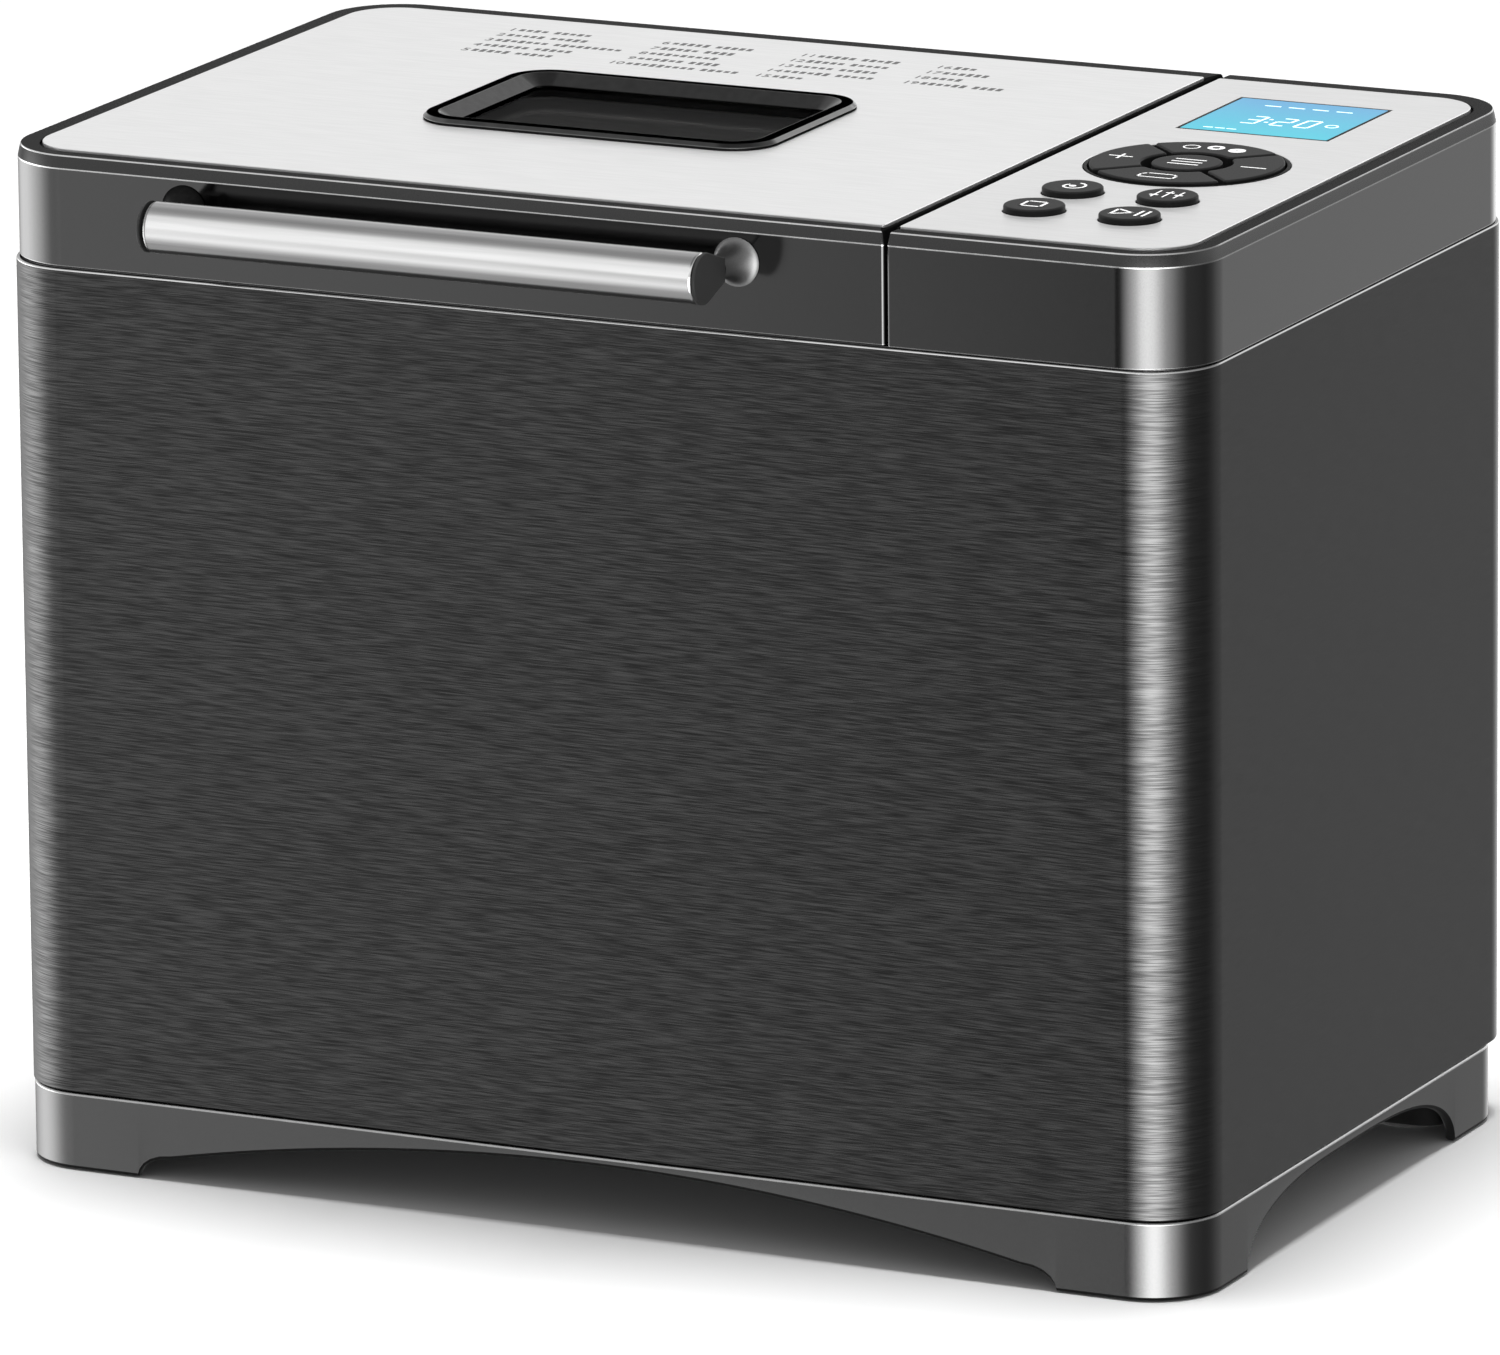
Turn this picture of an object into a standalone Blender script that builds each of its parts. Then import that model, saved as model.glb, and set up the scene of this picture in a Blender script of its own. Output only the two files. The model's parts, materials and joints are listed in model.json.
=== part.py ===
"""Bread machine with a hinged lid, a lift-out pan and a belt-driven kneading paddle.

Metres, +Z up, floor at z = 0. X runs to the right along the front, Y to the back. Every piece is
modelled in machine coordinates, whose x and y are measured from the centre of the body, and hangs
on the machine empty, which sits CENTRE_Y behind the centre of the whole outline because the lid
handle stands out at the front.
"""
import math

import bmesh
import bpy
from mathutils import Vector

# ---------------------------------------------------------------- driving dimensions
GAP = 0.0003                    # clearance between pieces that touch
CORNER_STEPS = 4                # facets in a rounded corner
ROUND = 16                      # facets round a turned piece
PAD_ROUND = 24                  # facets round the keypad

BODY_HALF_X = 0.1810
BODY_HALF_Y = 0.1135
BODY_RADIUS = 0.0205
BODY_BOTTOM = 0.0229
BODY_TOP = 0.2581               # seam between the body and the lid
SHEET = 0.0010                  # body sheet thickness
HANDLE_REACH = 0.1406           # body centre to the front of the handle
REAR_REACH = 0.1185             # body centre to the back of the cord gland
CENTRE_Y = (HANDLE_REACH - REAR_REACH) / 2

# base
BASE_INSET = 0.0003
BASE_TOP = BODY_BOTTOM - GAP
BASE_REAR = 0.1077              # the skirt stops short of the rear panel
BASE_ROOF = 0.0206              # underside of the base plate
SKIRT_BOTTOM = 0.0005
SKIRT_WALL = 0.0028
FRONT_ARCH_HALF = 0.1405        # where the front feet end
FRONT_ARCH_SHOULDER = (0.1300, 0.0066)
FRONT_ARCH_CROWN = 0.0198
SIDE_ARCH_HALF = 0.072
SIDE_ARCH_CENTRE = -0.0040
SIDE_ARCH_CROWN = 0.0189
FOOT_X = 0.1590
FOOT_Y = (-0.0925, 0.0870)
FOOT_RADIUS = 0.011
FOOT_HEIGHT = 0.0022

# lid and control box share their height, chamfer and rim
COVER_INSET = 0.0003
COVER_RADIUS = 0.0220
COVER_CHAMFER = 0.2859          # lower edge of the chamfer band
COVER_TOP = 0.2896
CHAMFER_INSET = 0.0008
COVER_WALL = 0.0025
TOP_WALL = (0.2857, 0.2887)     # underside and recess floor of the top wall
PLATE_Z = (0.2890, 0.2902)
PLATE_Y = (-0.1072, 0.1043)
PLATE_RADIUS = 0.015
PLATE_LEFT = -0.1732
PLATE_RIGHT = 0.1744
RECESS_MARGIN = 0.0006
LID_RIGHT = 0.0912              # lid's right wall, beside the control box
BOX_LEFT = 0.0918
LID_PLATE_RIGHT = 0.0885
PANEL_LEFT = 0.0930

# window
WINDOW_X = -0.0355
WINDOW_Y = -0.0022
BEZEL_HALF = (0.0538, 0.0370)
BEZEL_RADIUS = 0.013
BEZEL_TOP = 0.2922
GLASS_HALF = (0.0495, 0.0295)
COLLAR_HALF = (0.0515, 0.0315)
LINER_GLASS_HALF = (0.0530, 0.0330)

# lid hinge, handle
HINGE_Y = 0.1083
HINGE_Z = 0.2648
HINGE_X = (-0.129, 0.041)
KNUCKLE_RADIUS = 0.0040
PIN_RADIUS = 0.0018
EAR_HALF = 0.006
KNUCKLE_GAP = 0.0006            # between an ear and the knuckles beside it
KNUCKLE_LENGTH = 0.0080
REAR_WALL_FOOT = 0.2612         # lower edge of the lid's rear wall, clear of the deck as it swings
BAR_X = (-0.1197, 0.0468)
BAR_Y = -0.1335
BAR_Z = 0.2771
BAR_RADIUS = 0.0071
ARM_PLATE = 0.0008
NECK_HALF = 0.0034
NECK_END = -0.1210
LID_FACE = -(BODY_HALF_Y - COVER_INSET)
POST_RADII = (0.0033, 0.0076)   # at the arm and at the lid face
POST_SHIFT = (-0.0022, 0.0006)  # centre beyond the bar's end, at the arm and at the lid face

# keypad
PAD_CENTRE = (0.1320, -0.0055)
PAD_RADIUS = 0.0283
PAD_INNER = 0.0273
ARC_RADII = (0.0127, 0.0268)
ARC_GAP = 0.0008
KEY_TOP = 0.2911
KEY_BOTTOM = 0.2864
MENU_RADIUS = 0.0098
STEM_RADIUS = 0.0018
STEM_BOTTOM = 0.2749
ROUND_KEY_RADIUS = 0.0084
ROUND_KEY_TOP = 0.2920
ROUND_KEYS = {"knead_key": (0.1179, -0.0498), "custom_key": (0.1460, -0.0498),
              "stop_key": (0.1179, -0.0748), "start_key": (0.1460, -0.0748)}
ARC_KEYS = {"plus_key": 180, "colour_key": 90, "minus_key": 0, "loaf_key": 270}
LCD_X = (0.1093, 0.1547)
LCD_Y = (0.0382, 0.0830)
LCD_FLOOR = 0.2800
BOARD_Z = (0.2713, 0.2729)
SWITCH_TOP = 0.2737

# oven and pan
OVEN_X = -0.040                 # drive and pan axis
OVEN_HALF = (0.100, 0.078)
OVEN_RADIUS = 0.020
OVEN_FLOOR = 0.090
OVEN_SHEET = 0.0008
DECK_Z = (0.2551, 0.2581)
PAN_HALF_TOP = (0.0820, 0.0600)
PAN_HALF_BOTTOM = (0.0780, 0.0560)
PAN_RADIUS = 0.025
PAN_WALL = 0.0014
PAN_BOTTOM = 0.1123
PAN_RIM = 0.2390
BAIL_Z = 0.2310
BAIL_RADIUS = 0.0020
BAIL_REACH = 0.0670
ELEMENT_Z = 0.1010
ELEMENT_RADIUS = 0.0032
ELEMENT_LEG_Y = 0.0140
SENSOR_YZ = (0.040, 0.175)

# drive
CHASSIS_Z = (0.0564, 0.0580)
SHAFT_RADIUS = 0.0040
PULLEY_Z = (0.0360, 0.0480)
LARGE_PULLEY = 0.0420
SMALL_PULLEY = 0.0084
PULLEY_FLANGE = 0.0022
BELT_Z = (0.0385, 0.0455)
BELT_THICKNESS = 0.0016
MOTOR_X = 0.1240
MOTOR_RADIUS = 0.0330
MOTOR_Z = (0.0663, 0.1280)
MOTOR_SHAFT_RADIUS = 0.0030

# colours as base colour, metallic, roughness
GUNMETAL = ("gunmetal", (0.050, 0.050, 0.054), 1.0, 0.34)
BRUSHED = ("brushed_dark_steel", (0.060, 0.060, 0.064), 1.0, 0.42)
SILVER = ("brushed_silver", (0.78, 0.78, 0.79), 0.9, 0.36)
BLACK = ("black_plastic", (0.012, 0.012, 0.013), 0.0, 0.35)
KEY = ("key_black", (0.020, 0.020, 0.021), 0.0, 0.40)
GLASS = ("clear_glass", (0.75, 0.80, 0.80), 0.0, 0.05)
LCD_BLUE = ("lcd_blue", (0.10, 0.50, 0.85), 0.0, 0.15)
STEEL = ("bare_steel", (0.55, 0.55, 0.56), 1.0, 0.32)
NONSTICK = ("pan_coating", (0.035, 0.035, 0.037), 0.2, 0.45)
RUBBER = ("rubber", (0.015, 0.015, 0.015), 0.0, 0.80)
SILICONE = ("seal_silicone", (0.32, 0.32, 0.33), 0.0, 0.65)
CERAMIC = ("ceramic", (0.85, 0.84, 0.80), 0.0, 0.45)
BOARD = ("circuit_board", (0.03, 0.16, 0.07), 0.0, 0.45)
CAST = ("cast_aluminium", (0.48, 0.48, 0.50), 1.0, 0.50)
COPPER = ("motor_steel", (0.30, 0.30, 0.32), 0.9, 0.45)
NYLON = ("white_nylon", (0.72, 0.72, 0.70), 0.0, 0.50)


# ---------------------------------------------------------------- shape helpers
def outline(x_min, x_max, y_min, y_max, radii, steps=CORNER_STEPS):
    """Rounded rectangle; radii in the order front left, front right, rear right, rear left."""
    if not isinstance(radii, tuple):
        radii = (radii,) * 4
    corners = ((x_min, y_min, 1, 1), (x_max, y_min, -1, 1), (x_max, y_max, -1, -1), (x_min, y_max, 1, -1))
    points = []
    for index, ((x, y, to_x, to_y), radius) in enumerate(zip(corners, radii)):
        for step in range(steps + 1):
            angle = math.radians(180 + 90 * index + 90 * step / steps)
            points.append((x + to_x * radius + radius * math.cos(angle),
                           y + to_y * radius + radius * math.sin(angle)))
    return points


def centred(centre, half, radius, inset=0.0):
    """Rounded rectangle about a centre, pulled in by inset."""
    half_x = half[0] - inset
    half_y = half[1] - inset
    radius = max(radius - inset, 0.001)
    return outline(centre[0] - half_x, centre[0] + half_x, centre[1] - half_y, centre[1] + half_y, radius)


def circle(centre, radius, sides=ROUND):
    angles = [math.tau * side / sides for side in range(sides)]
    return [(centre[0] + radius * math.cos(a), centre[1] + radius * math.sin(a)) for a in angles]


def level(points, z):
    return [(x, y, z) for x, y in points]


def loft(loops, ring=False):
    """Skin a list of loops; a ring closes back on its first loop, otherwise both ends are capped."""
    shape = bmesh.new()
    rows = [[shape.verts.new(point) for point in loop] for loop in loops]
    pairs = list(zip(rows, rows[1:]))
    if ring:
        pairs.append((rows[-1], rows[0]))
    count = len(rows[0])
    for low, high in pairs:
        for index in range(count):
            after = (index + 1) % count
            shape.faces.new((low[index], low[after], high[after], high[index]))
    if not ring:
        shape.faces.new(list(reversed(rows[0])))
        shape.faces.new(rows[-1])
    bmesh.ops.recalc_face_normals(shape, faces=shape.faces)
    return shape


def prism(points, z_low, z_high):
    return loft([level(points, z_low), level(points, z_high)])


def block(x_low, x_high, y_low, y_high, z_low, z_high):
    corners = ((x_low, y_low), (x_high, y_low), (x_high, y_high), (x_low, y_high))
    return prism(corners, z_low, z_high)


def turned(profile, centre, ring=False, sides=ROUND):
    """Turn (radius, z) points about a vertical axis."""
    return loft([level(circle(centre, radius, sides), z) for radius, z in profile], ring)


def rod(start, end, radius, sides=10):
    return tube([Vector(start), Vector(end)], radius, sides)


def tube(path, radius, sides=6):
    """Round bar along a path of points, with flat ends."""
    loops = []
    side = None
    for index, point in enumerate(path):
        before = path[max(index - 1, 0)]
        after = path[min(index + 1, len(path) - 1)]
        along = (after - before).normalized()
        if side is None:
            side = along.orthogonal().normalized()
        side = (side - along * side.dot(along)).normalized()
        up = along.cross(side)
        loop = []
        for step in range(sides):
            angle = math.tau * step / sides
            loop.append(point + (side * math.cos(angle) + up * math.sin(angle)) * radius)
        loops.append(loop)
    return loft(loops)


def boolean(body, tool, operation):
    """Cut, join or intersect two closed shapes."""
    holders = []
    for shape in (body, tool):
        mesh = bpy.data.meshes.new("work")
        shape.to_mesh(mesh)
        shape.free()
        holder = bpy.data.objects.new("work", mesh)
        bpy.context.scene.collection.objects.link(holder)
        holders.append(holder)
    modifier = holders[0].modifiers.new("cut", "BOOLEAN")
    modifier.operation = operation
    modifier.solver = "EXACT"
    modifier.object = holders[1]
    result = bmesh.new()
    result.from_object(holders[0], bpy.context.evaluated_depsgraph_get())
    for holder in holders:
        mesh = holder.data
        bpy.data.objects.remove(holder)
        bpy.data.meshes.remove(mesh)
    return result


def cut(body, *tools):
    for tool in tools:
        body = boolean(body, tool, "DIFFERENCE")
    return body


def join(body, *others):
    for other in others:
        body = boolean(body, other, "UNION")
    return body


# ---------------------------------------------------------------- objects
def clear_scene():
    for item in list(bpy.data.objects):
        bpy.data.objects.remove(item)


def finish_material(finish):
    name, colour, metallic, roughness = finish
    material = bpy.data.materials.get(name)
    if material is None:
        material = bpy.data.materials.new(name)
        material.use_nodes = True
        shader = material.node_tree.nodes["Principled BSDF"]
        shader.inputs["Base Color"].default_value = (*colour, 1.0)
        shader.inputs["Metallic"].default_value = metallic
        shader.inputs["Roughness"].default_value = roughness
    return material


def empty(name, place, parent=None):
    """An axis or carrier empty; place is in machine coordinates."""
    holder = bpy.data.objects.new(name, None)
    bpy.context.scene.collection.objects.link(holder)
    holder.parent = parent
    holder["place"] = place
    origin = Vector(parent["place"]) if parent else Vector((0, -CENTRE_Y, 0))
    holder.location = Vector(place) - origin
    return holder


def piece(name, shape, finish, carrier, place=None):
    """Name a shape, give it its material and hang it on its carrier with its origin at place."""
    carrier_place = Vector(carrier["place"])
    place = carrier_place if place is None else Vector(place)
    bmesh.ops.translate(shape, verts=shape.verts, vec=-place)
    mesh = bpy.data.meshes.new(name)
    shape.to_mesh(mesh)
    shape.free()
    mesh.materials.append(finish_material(finish))
    mesh.shade_smooth()
    mesh.set_sharp_from_angle(angle=math.radians(35))
    made = bpy.data.objects.new(name, mesh)
    bpy.context.scene.collection.objects.link(made)
    made.parent = carrier
    made.location = place - carrier_place
    return made


# ---------------------------------------------------------------- base and body
def front_arch():
    """Quarter-round shoulder at each foot, then a long low curve up to the crown, in x and z."""
    shoulder_x, shoulder_z = FRONT_ARCH_SHOULDER
    reach = FRONT_ARCH_HALF - shoulder_x
    right = []
    for step in range(4):
        angle = math.radians(90 * step / 3)
        right.append((FRONT_ARCH_HALF - reach * (1 - math.cos(angle)), shoulder_z * math.sin(angle)))
    for share in (0.75, 0.5, 0.25):
        rise = (FRONT_ARCH_CROWN - shoulder_z) * (1 - share ** 2)
        right.append((shoulder_x * share, shoulder_z + rise))
    left = [(-x, z) for x, z in reversed(right)]
    below = [(-FRONT_ARCH_HALF, -0.01), (FRONT_ARCH_HALF, -0.01)]
    return below + right + [(0.0, FRONT_ARCH_CROWN)] + left


def side_arch():
    """Superellipse arch in y and z."""
    points = [(SIDE_ARCH_CENTRE - SIDE_ARCH_HALF, -0.01), (SIDE_ARCH_CENTRE + SIDE_ARCH_HALF, -0.01)]
    steps = 14
    for step in range(steps + 1):
        share = math.cos(math.pi * step / steps)
        height = SIDE_ARCH_CROWN * math.sqrt(1 - abs(share) ** 3.2)
        points.append((SIDE_ARCH_CENTRE + SIDE_ARCH_HALF * share, height))
    return points


def base_tray():
    half_x = BODY_HALF_X - BASE_INSET
    front = BASE_INSET - BODY_HALF_Y
    radius = BODY_RADIUS - BASE_INSET
    wall = SKIRT_WALL
    outer = outline(-half_x, half_x, front, BASE_REAR, radius)
    inner = outline(wall - half_x, half_x - wall, front + wall, BASE_REAR - wall, radius - wall)
    tray = loft([level(inner, BASE_ROOF), level(inner, SKIRT_BOTTOM), level(outer, SKIRT_BOTTOM),
                 level(outer, BASE_TOP)])
    boss_bottom = FOOT_HEIGHT + GAP
    for to_x in (-1, 1):
        for foot_y in FOOT_Y:
            boss = centred((to_x * FOOT_X, foot_y), (0.0175, 0.0165), 0.010)
            tray = join(tray, prism(boss, boss_bottom, BASE_ROOF + 0.001))
    front_cut = loft([[(x, y, z) for x, z in front_arch()] for y in (-0.13, 0.13)])
    side_cut = loft([[(x, y, z) for y, z in side_arch()] for x in (-0.20, 0.20)])
    return cut(tray, front_cut, side_cut)


def body_shell():
    outer = centred((0, 0), (BODY_HALF_X, BODY_HALF_Y), BODY_RADIUS)
    inner = centred((0, 0), (BODY_HALF_X, BODY_HALF_Y), BODY_RADIUS, SHEET)
    top = BODY_TOP - GAP
    low = BODY_BOTTOM
    wrap = loft([level(outer, low), level(outer, top), level(inner, top), level(inner, low)], True)
    return cut(wrap, block(-0.158, 0.158, 0.100, 0.120, 0.010, 0.270))


def rear_panel():
    panel = block(-0.1577, 0.1577, BODY_HALF_Y - SHEET, BODY_HALF_Y, BODY_BOTTOM, BODY_TOP - GAP)
    for column in (-1, 1):
        for row in range(6):
            z = 0.170 + 0.010 * row
            slot = block(column * 0.095 - 0.030, column * 0.095 + 0.030, 0.10, 0.12, z, z + 0.0035)
            panel = cut(panel, slot)
    return cut(panel, rod((0.120, 0.10, 0.045), (0.120, 0.12, 0.045), 0.0083, 16))


def cord_gland():
    """Flanged ring in the rear panel, with the cord's passage through it."""
    rings = []
    inside = BODY_HALF_Y - 0.0075
    flange = BODY_HALF_Y + GAP
    for radius, y in ((0.0080, inside), (0.0080, flange), (0.0110, flange), (0.0110, REAR_REACH),
                      (0.0042, REAR_REACH), (0.0042, inside)):
        rings.append([(x, y, z) for x, z in circle((0.120, 0.045), radius, 12)])
    return loft(rings, True)


# ---------------------------------------------------------------- covers
def cover_loops(x_low, x_high, corner_radii, plate, plate_radii, bottom, wall_bottom):
    """Loops of a lid or control box: inner cavity, wall foot, outer wall, chamfer, rim and plate recess."""
    half_y = BODY_HALF_Y - COVER_INSET

    def ring(inset):
        radii = tuple(max(radius - inset, 0.0008) for radius in corner_radii)
        return outline(x_low + inset, x_high - inset, -half_y + inset, half_y - inset, radii)

    recess = outline(plate[0] - RECESS_MARGIN, plate[1] + RECESS_MARGIN, PLATE_Y[0] - RECESS_MARGIN,
                     PLATE_Y[1] + RECESS_MARGIN, plate_radii)
    return [level(ring(COVER_WALL), TOP_WALL[0]), level(ring(COVER_WALL), wall_bottom),
            level(ring(0.0), bottom), level(ring(0.0), COVER_CHAMFER), level(ring(CHAMFER_INSET), COVER_TOP),
            level(recess, COVER_TOP), level(recess, TOP_WALL[1])]


def upper_housing():
    """Deck round the oven opening, with the control box standing on its right end."""
    deck_outer = centred((0, 0), (BODY_HALF_X, BODY_HALF_Y), BODY_RADIUS, SHEET + GAP)
    opening = centred((OVEN_X, 0), OVEN_HALF, OVEN_RADIUS, 0.0005)
    deck = loft([level(deck_outer, DECK_Z[0]), level(deck_outer, DECK_Z[1]), level(opening, DECK_Z[1]),
                 level(opening, DECK_Z[0])], True)
    right = BODY_HALF_X - COVER_INSET
    loops = cover_loops(BOX_LEFT, right, (0.001, COVER_RADIUS, COVER_RADIUS, 0.001),
                        (PANEL_LEFT, PLATE_RIGHT), (0.0012, PLATE_RADIUS, PLATE_RADIUS, 0.0012),
                        DECK_Z[1] - 0.0001, DECK_Z[1] - 0.0001)
    housing = join(deck, loft(loops))
    bay = outline(BOX_LEFT + COVER_WALL + 0.0005, right - COVER_WALL - 0.0005, -0.105, 0.105, 0.012)
    housing = cut(housing, prism(bay, 0.25, 0.262))
    housing = cut(housing, prism(circle(PAD_CENTRE, PAD_RADIUS + GAP, PAD_ROUND), 0.28, 0.30))
    housing = cut(housing, display_opening(0.001))
    for centre in ROUND_KEYS.values():
        housing = cut(housing, prism(circle(centre, ROUND_KEY_RADIUS + GAP), 0.28, 0.30))
    return housing


def display_opening(margin):
    """Cutter for the display's opening through the top of the control box."""
    return block(LCD_X[0] - margin, LCD_X[1] + margin, LCD_Y[0] - margin, LCD_Y[1] + margin, 0.28, 0.30)


def panel_plate():
    radii = (0.0008, PLATE_RADIUS, PLATE_RADIUS, 0.0008)
    edge = outline(PANEL_LEFT, PLATE_RIGHT, *PLATE_Y, radii)
    plate = prism(edge, *PLATE_Z)
    plate = cut(plate, prism(circle(PAD_CENTRE, PAD_RADIUS + GAP, PAD_ROUND), 0.28, 0.30))
    plate = cut(plate, display_opening(GAP))
    for centre in ROUND_KEYS.values():
        plate = cut(plate, prism(circle(centre, ROUND_KEY_RADIUS + GAP), 0.28, 0.30))
    return plate


def lid_frame():
    loops = cover_loops(-BODY_HALF_X + COVER_INSET, LID_RIGHT, (COVER_RADIUS, 0.001, 0.001, COVER_RADIUS),
                        (PLATE_LEFT, LID_PLATE_RIGHT), (PLATE_RADIUS, 0.0012, 0.0012, PLATE_RADIUS),
                        BODY_TOP + GAP, BODY_TOP + GAP)
    lid = loft(loops)
    window = centred((WINDOW_X, WINDOW_Y), COLLAR_HALF, 0.010, -0.0004)
    lid = cut(lid, prism(window, 0.28, 0.30))
    lid = cut(lid, block(-0.19, 0.10, HINGE_Y - 0.0015, 0.12, 0.250, REAR_WALL_FOOT))
    notch_half = EAR_HALF + KNUCKLE_GAP
    for x in HINGE_X:
        for side in (-1, 1):
            near, far = sorted((x + side * notch_half, x + side * (notch_half + KNUCKLE_LENGTH)))
            knuckle = rod((near, HINGE_Y, HINGE_Z), (far, HINGE_Y, HINGE_Z), KNUCKLE_RADIUS, 16)
            web = block(near, far, HINGE_Y - 0.001, HINGE_Y + 0.0035, HINGE_Z, HINGE_Z + 0.0065)
            lid = join(lid, web, knuckle)
        lid = cut(lid, block(x - notch_half, x + notch_half, 0.100, 0.12, 0.250, HINGE_Z + 0.0066))
        lid = cut(lid, hinge_bore(x, 0.016))
    return lid


def hinge_bore(x, half):
    """Cutter for the pin's hole about one hinge."""
    return rod((x - half, HINGE_Y, HINGE_Z), (x + half, HINGE_Y, HINGE_Z), PIN_RADIUS + GAP, 12)


def lid_plate():
    outer = outline(PLATE_LEFT, LID_PLATE_RIGHT, *PLATE_Y, (PLATE_RADIUS, 0.0008, 0.0008, PLATE_RADIUS))
    window = centred((WINDOW_X, WINDOW_Y), COLLAR_HALF, 0.010, -0.0004)
    return loft([level(outer, PLATE_Z[0]), level(outer, PLATE_Z[1]), level(window, PLATE_Z[1]),
                 level(window, PLATE_Z[0])], True)


def window_bezel():
    centre = (WINDOW_X, WINDOW_Y)
    foot = PLATE_Z[1] + GAP
    lip = 0.0290 - 0.0018
    profile = ((BEZEL_HALF, 0.0, foot), (BEZEL_HALF, 0.0, foot + 0.0010), (BEZEL_HALF, 0.0008, BEZEL_TOP),
               (BEZEL_HALF, 0.0048, BEZEL_TOP), ((0.0470, lip), 0.0, 0.2889),
               (GLASS_HALF, -GAP, 0.2889), (GLASS_HALF, -GAP, 0.2845), (COLLAR_HALF, 0.0, 0.2845),
               (COLLAR_HALF, 0.0, foot))
    return loft([level(centred(centre, half, BEZEL_RADIUS, inset), z) for half, inset, z in profile], True)


def lid_liner():
    """Pressed tray under the lid: flange, dome and window opening, in one sheet."""
    centre = (OVEN_X, 0)
    window = (WINDOW_X, WINDOW_Y)
    flange_half = (0.110, 0.088)
    low, high, sheet = 0.2625, 0.2800, 0.0008
    loops = [level(centred(centre, flange_half, 0.026), low),
             level(centred(centre, flange_half, 0.026), low + sheet),
             level(centred(centre, flange_half, 0.026, 0.010), low + sheet),
             level(centred(centre, flange_half, 0.026, 0.016), high + sheet),
             level(centred(window, (0.0470, 0.0270), 0.008), high + sheet),
             level(centred(window, (0.0470, 0.0270), 0.008), high),
             level(centred(centre, flange_half, 0.026, 0.017), high),
             level(centred(centre, flange_half, 0.026, 0.011), low)]
    return loft(loops, True)


def lid_seal():
    outer = centred((OVEN_X, 0), (0.1075, 0.0855), 0.024)
    inner = centred((OVEN_X, 0), (0.1075, 0.0855), 0.024, 0.006)
    low, high = BODY_TOP + 0.0004, 0.2622
    return loft([level(outer, low), level(outer, high), level(inner, high), level(inner, low)], True)


# ---------------------------------------------------------------- handle and hinge
def handle_bar():
    """Round bar along x with a small chamfer at each end."""
    start, end = BAR_X
    rings = []
    for x, radius in ((start, BAR_RADIUS - 0.0005), (start + 0.0005, BAR_RADIUS),
                      (end - 0.0005, BAR_RADIUS), (end, BAR_RADIUS - 0.0005)):
        rings.append([(x, y, z) for y, z in circle((BAR_Y, BAR_Z), radius)])
    return loft(rings)


def handle_arm(side):
    """Tear-shaped end plate round the bar's end, with a neck block behind the bar."""
    end = BAR_X[1] if side > 0 else BAR_X[0]
    plate_x = (end + side * GAP, end + side * (GAP + ARM_PLATE))
    profile = []
    for step in range(13):
        angle = math.radians(75 + 210 * step / 12)
        profile.append((BAR_Y + BAR_RADIUS * math.cos(angle), BAR_Z + BAR_RADIUS * math.sin(angle)))
    profile += [(NECK_END, BAR_Z - NECK_HALF), (NECK_END, BAR_Z + NECK_HALF)]
    plate = loft([[(x, y, z) for y, z in profile] for x in sorted(plate_x)])
    neck_x = sorted((end - side * 0.0055, plate_x[1]))
    neck = block(*neck_x, BAR_Y + BAR_RADIUS + GAP, NECK_END, BAR_Z - NECK_HALF, BAR_Z + NECK_HALF)
    return join(plate, neck)


def handle_post(side):
    """Round post from the arm to the lid face, flaring and leaning outwards where it meets the lid."""
    end = BAR_X[1] if side > 0 else BAR_X[0]
    start = NECK_END + GAP
    stop = LID_FACE - GAP
    rings = []
    for share in (0.0, 0.3, 0.6, 0.85, 1.0):
        radius = POST_RADII[0] + (POST_RADII[1] - POST_RADII[0]) * share ** 2
        out = POST_SHIFT[0] + (POST_SHIFT[1] - POST_SHIFT[0]) * share
        y = start + (stop - start) * share
        rings.append([(x, y, z) for x, z in circle((end + side * out, BAR_Z + 0.0006 * share), radius, 14)])
    return loft(rings)


def hinge_bracket(x):
    """Ear on a foot plate, fixed to the deck."""
    deck = BODY_TOP + GAP
    left, right = x - EAR_HALF, x + EAR_HALF
    back = HINGE_Y + KNUCKLE_RADIUS
    foot = block(left, right, 0.0940, back, deck, deck + 0.0016)
    ear_base = block(left, right, HINGE_Y - KNUCKLE_RADIUS, back, deck, HINGE_Z)
    ear_head = rod((left, HINGE_Y, HINGE_Z), (right, HINGE_Y, HINGE_Z), KNUCKLE_RADIUS, 16)
    return cut(join(foot, ear_base, ear_head), hinge_bore(x, 0.010))


def hinge_pin(x):
    return rod((x - 0.0150, HINGE_Y, HINGE_Z), (x + 0.0150, HINGE_Y, HINGE_Z), PIN_RADIUS, 12)


# ---------------------------------------------------------------- control panel
def keypad_dish():
    """Round cup under the arc keys, hung below the top wall by a flange, with five stem holes."""
    profile = ((0.0310, 0.2835), (0.0310, 0.2853), (PAD_RADIUS, 0.2853), (PAD_RADIUS, PLATE_Z[1]),
               (PAD_INNER, PLATE_Z[1]), (PAD_INNER, 0.2850))
    dish = turned(profile, PAD_CENTRE, sides=PAD_ROUND)
    for x, y in [PAD_CENTRE] + [arc_stem(angle) for angle in ARC_KEYS.values()]:
        dish = cut(dish, prism(circle((x, y), STEM_RADIUS + 0.0005, 8), 0.28, 0.287))
    return dish


def about_pad(radius, angle):
    """Point at a radius and an angle in radians about the keypad's centre."""
    return (PAD_CENTRE[0] + radius * math.cos(angle), PAD_CENTRE[1] + radius * math.sin(angle))


def arc_stem(degrees):
    return about_pad(sum(ARC_RADII) / 2, math.radians(degrees))


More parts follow.
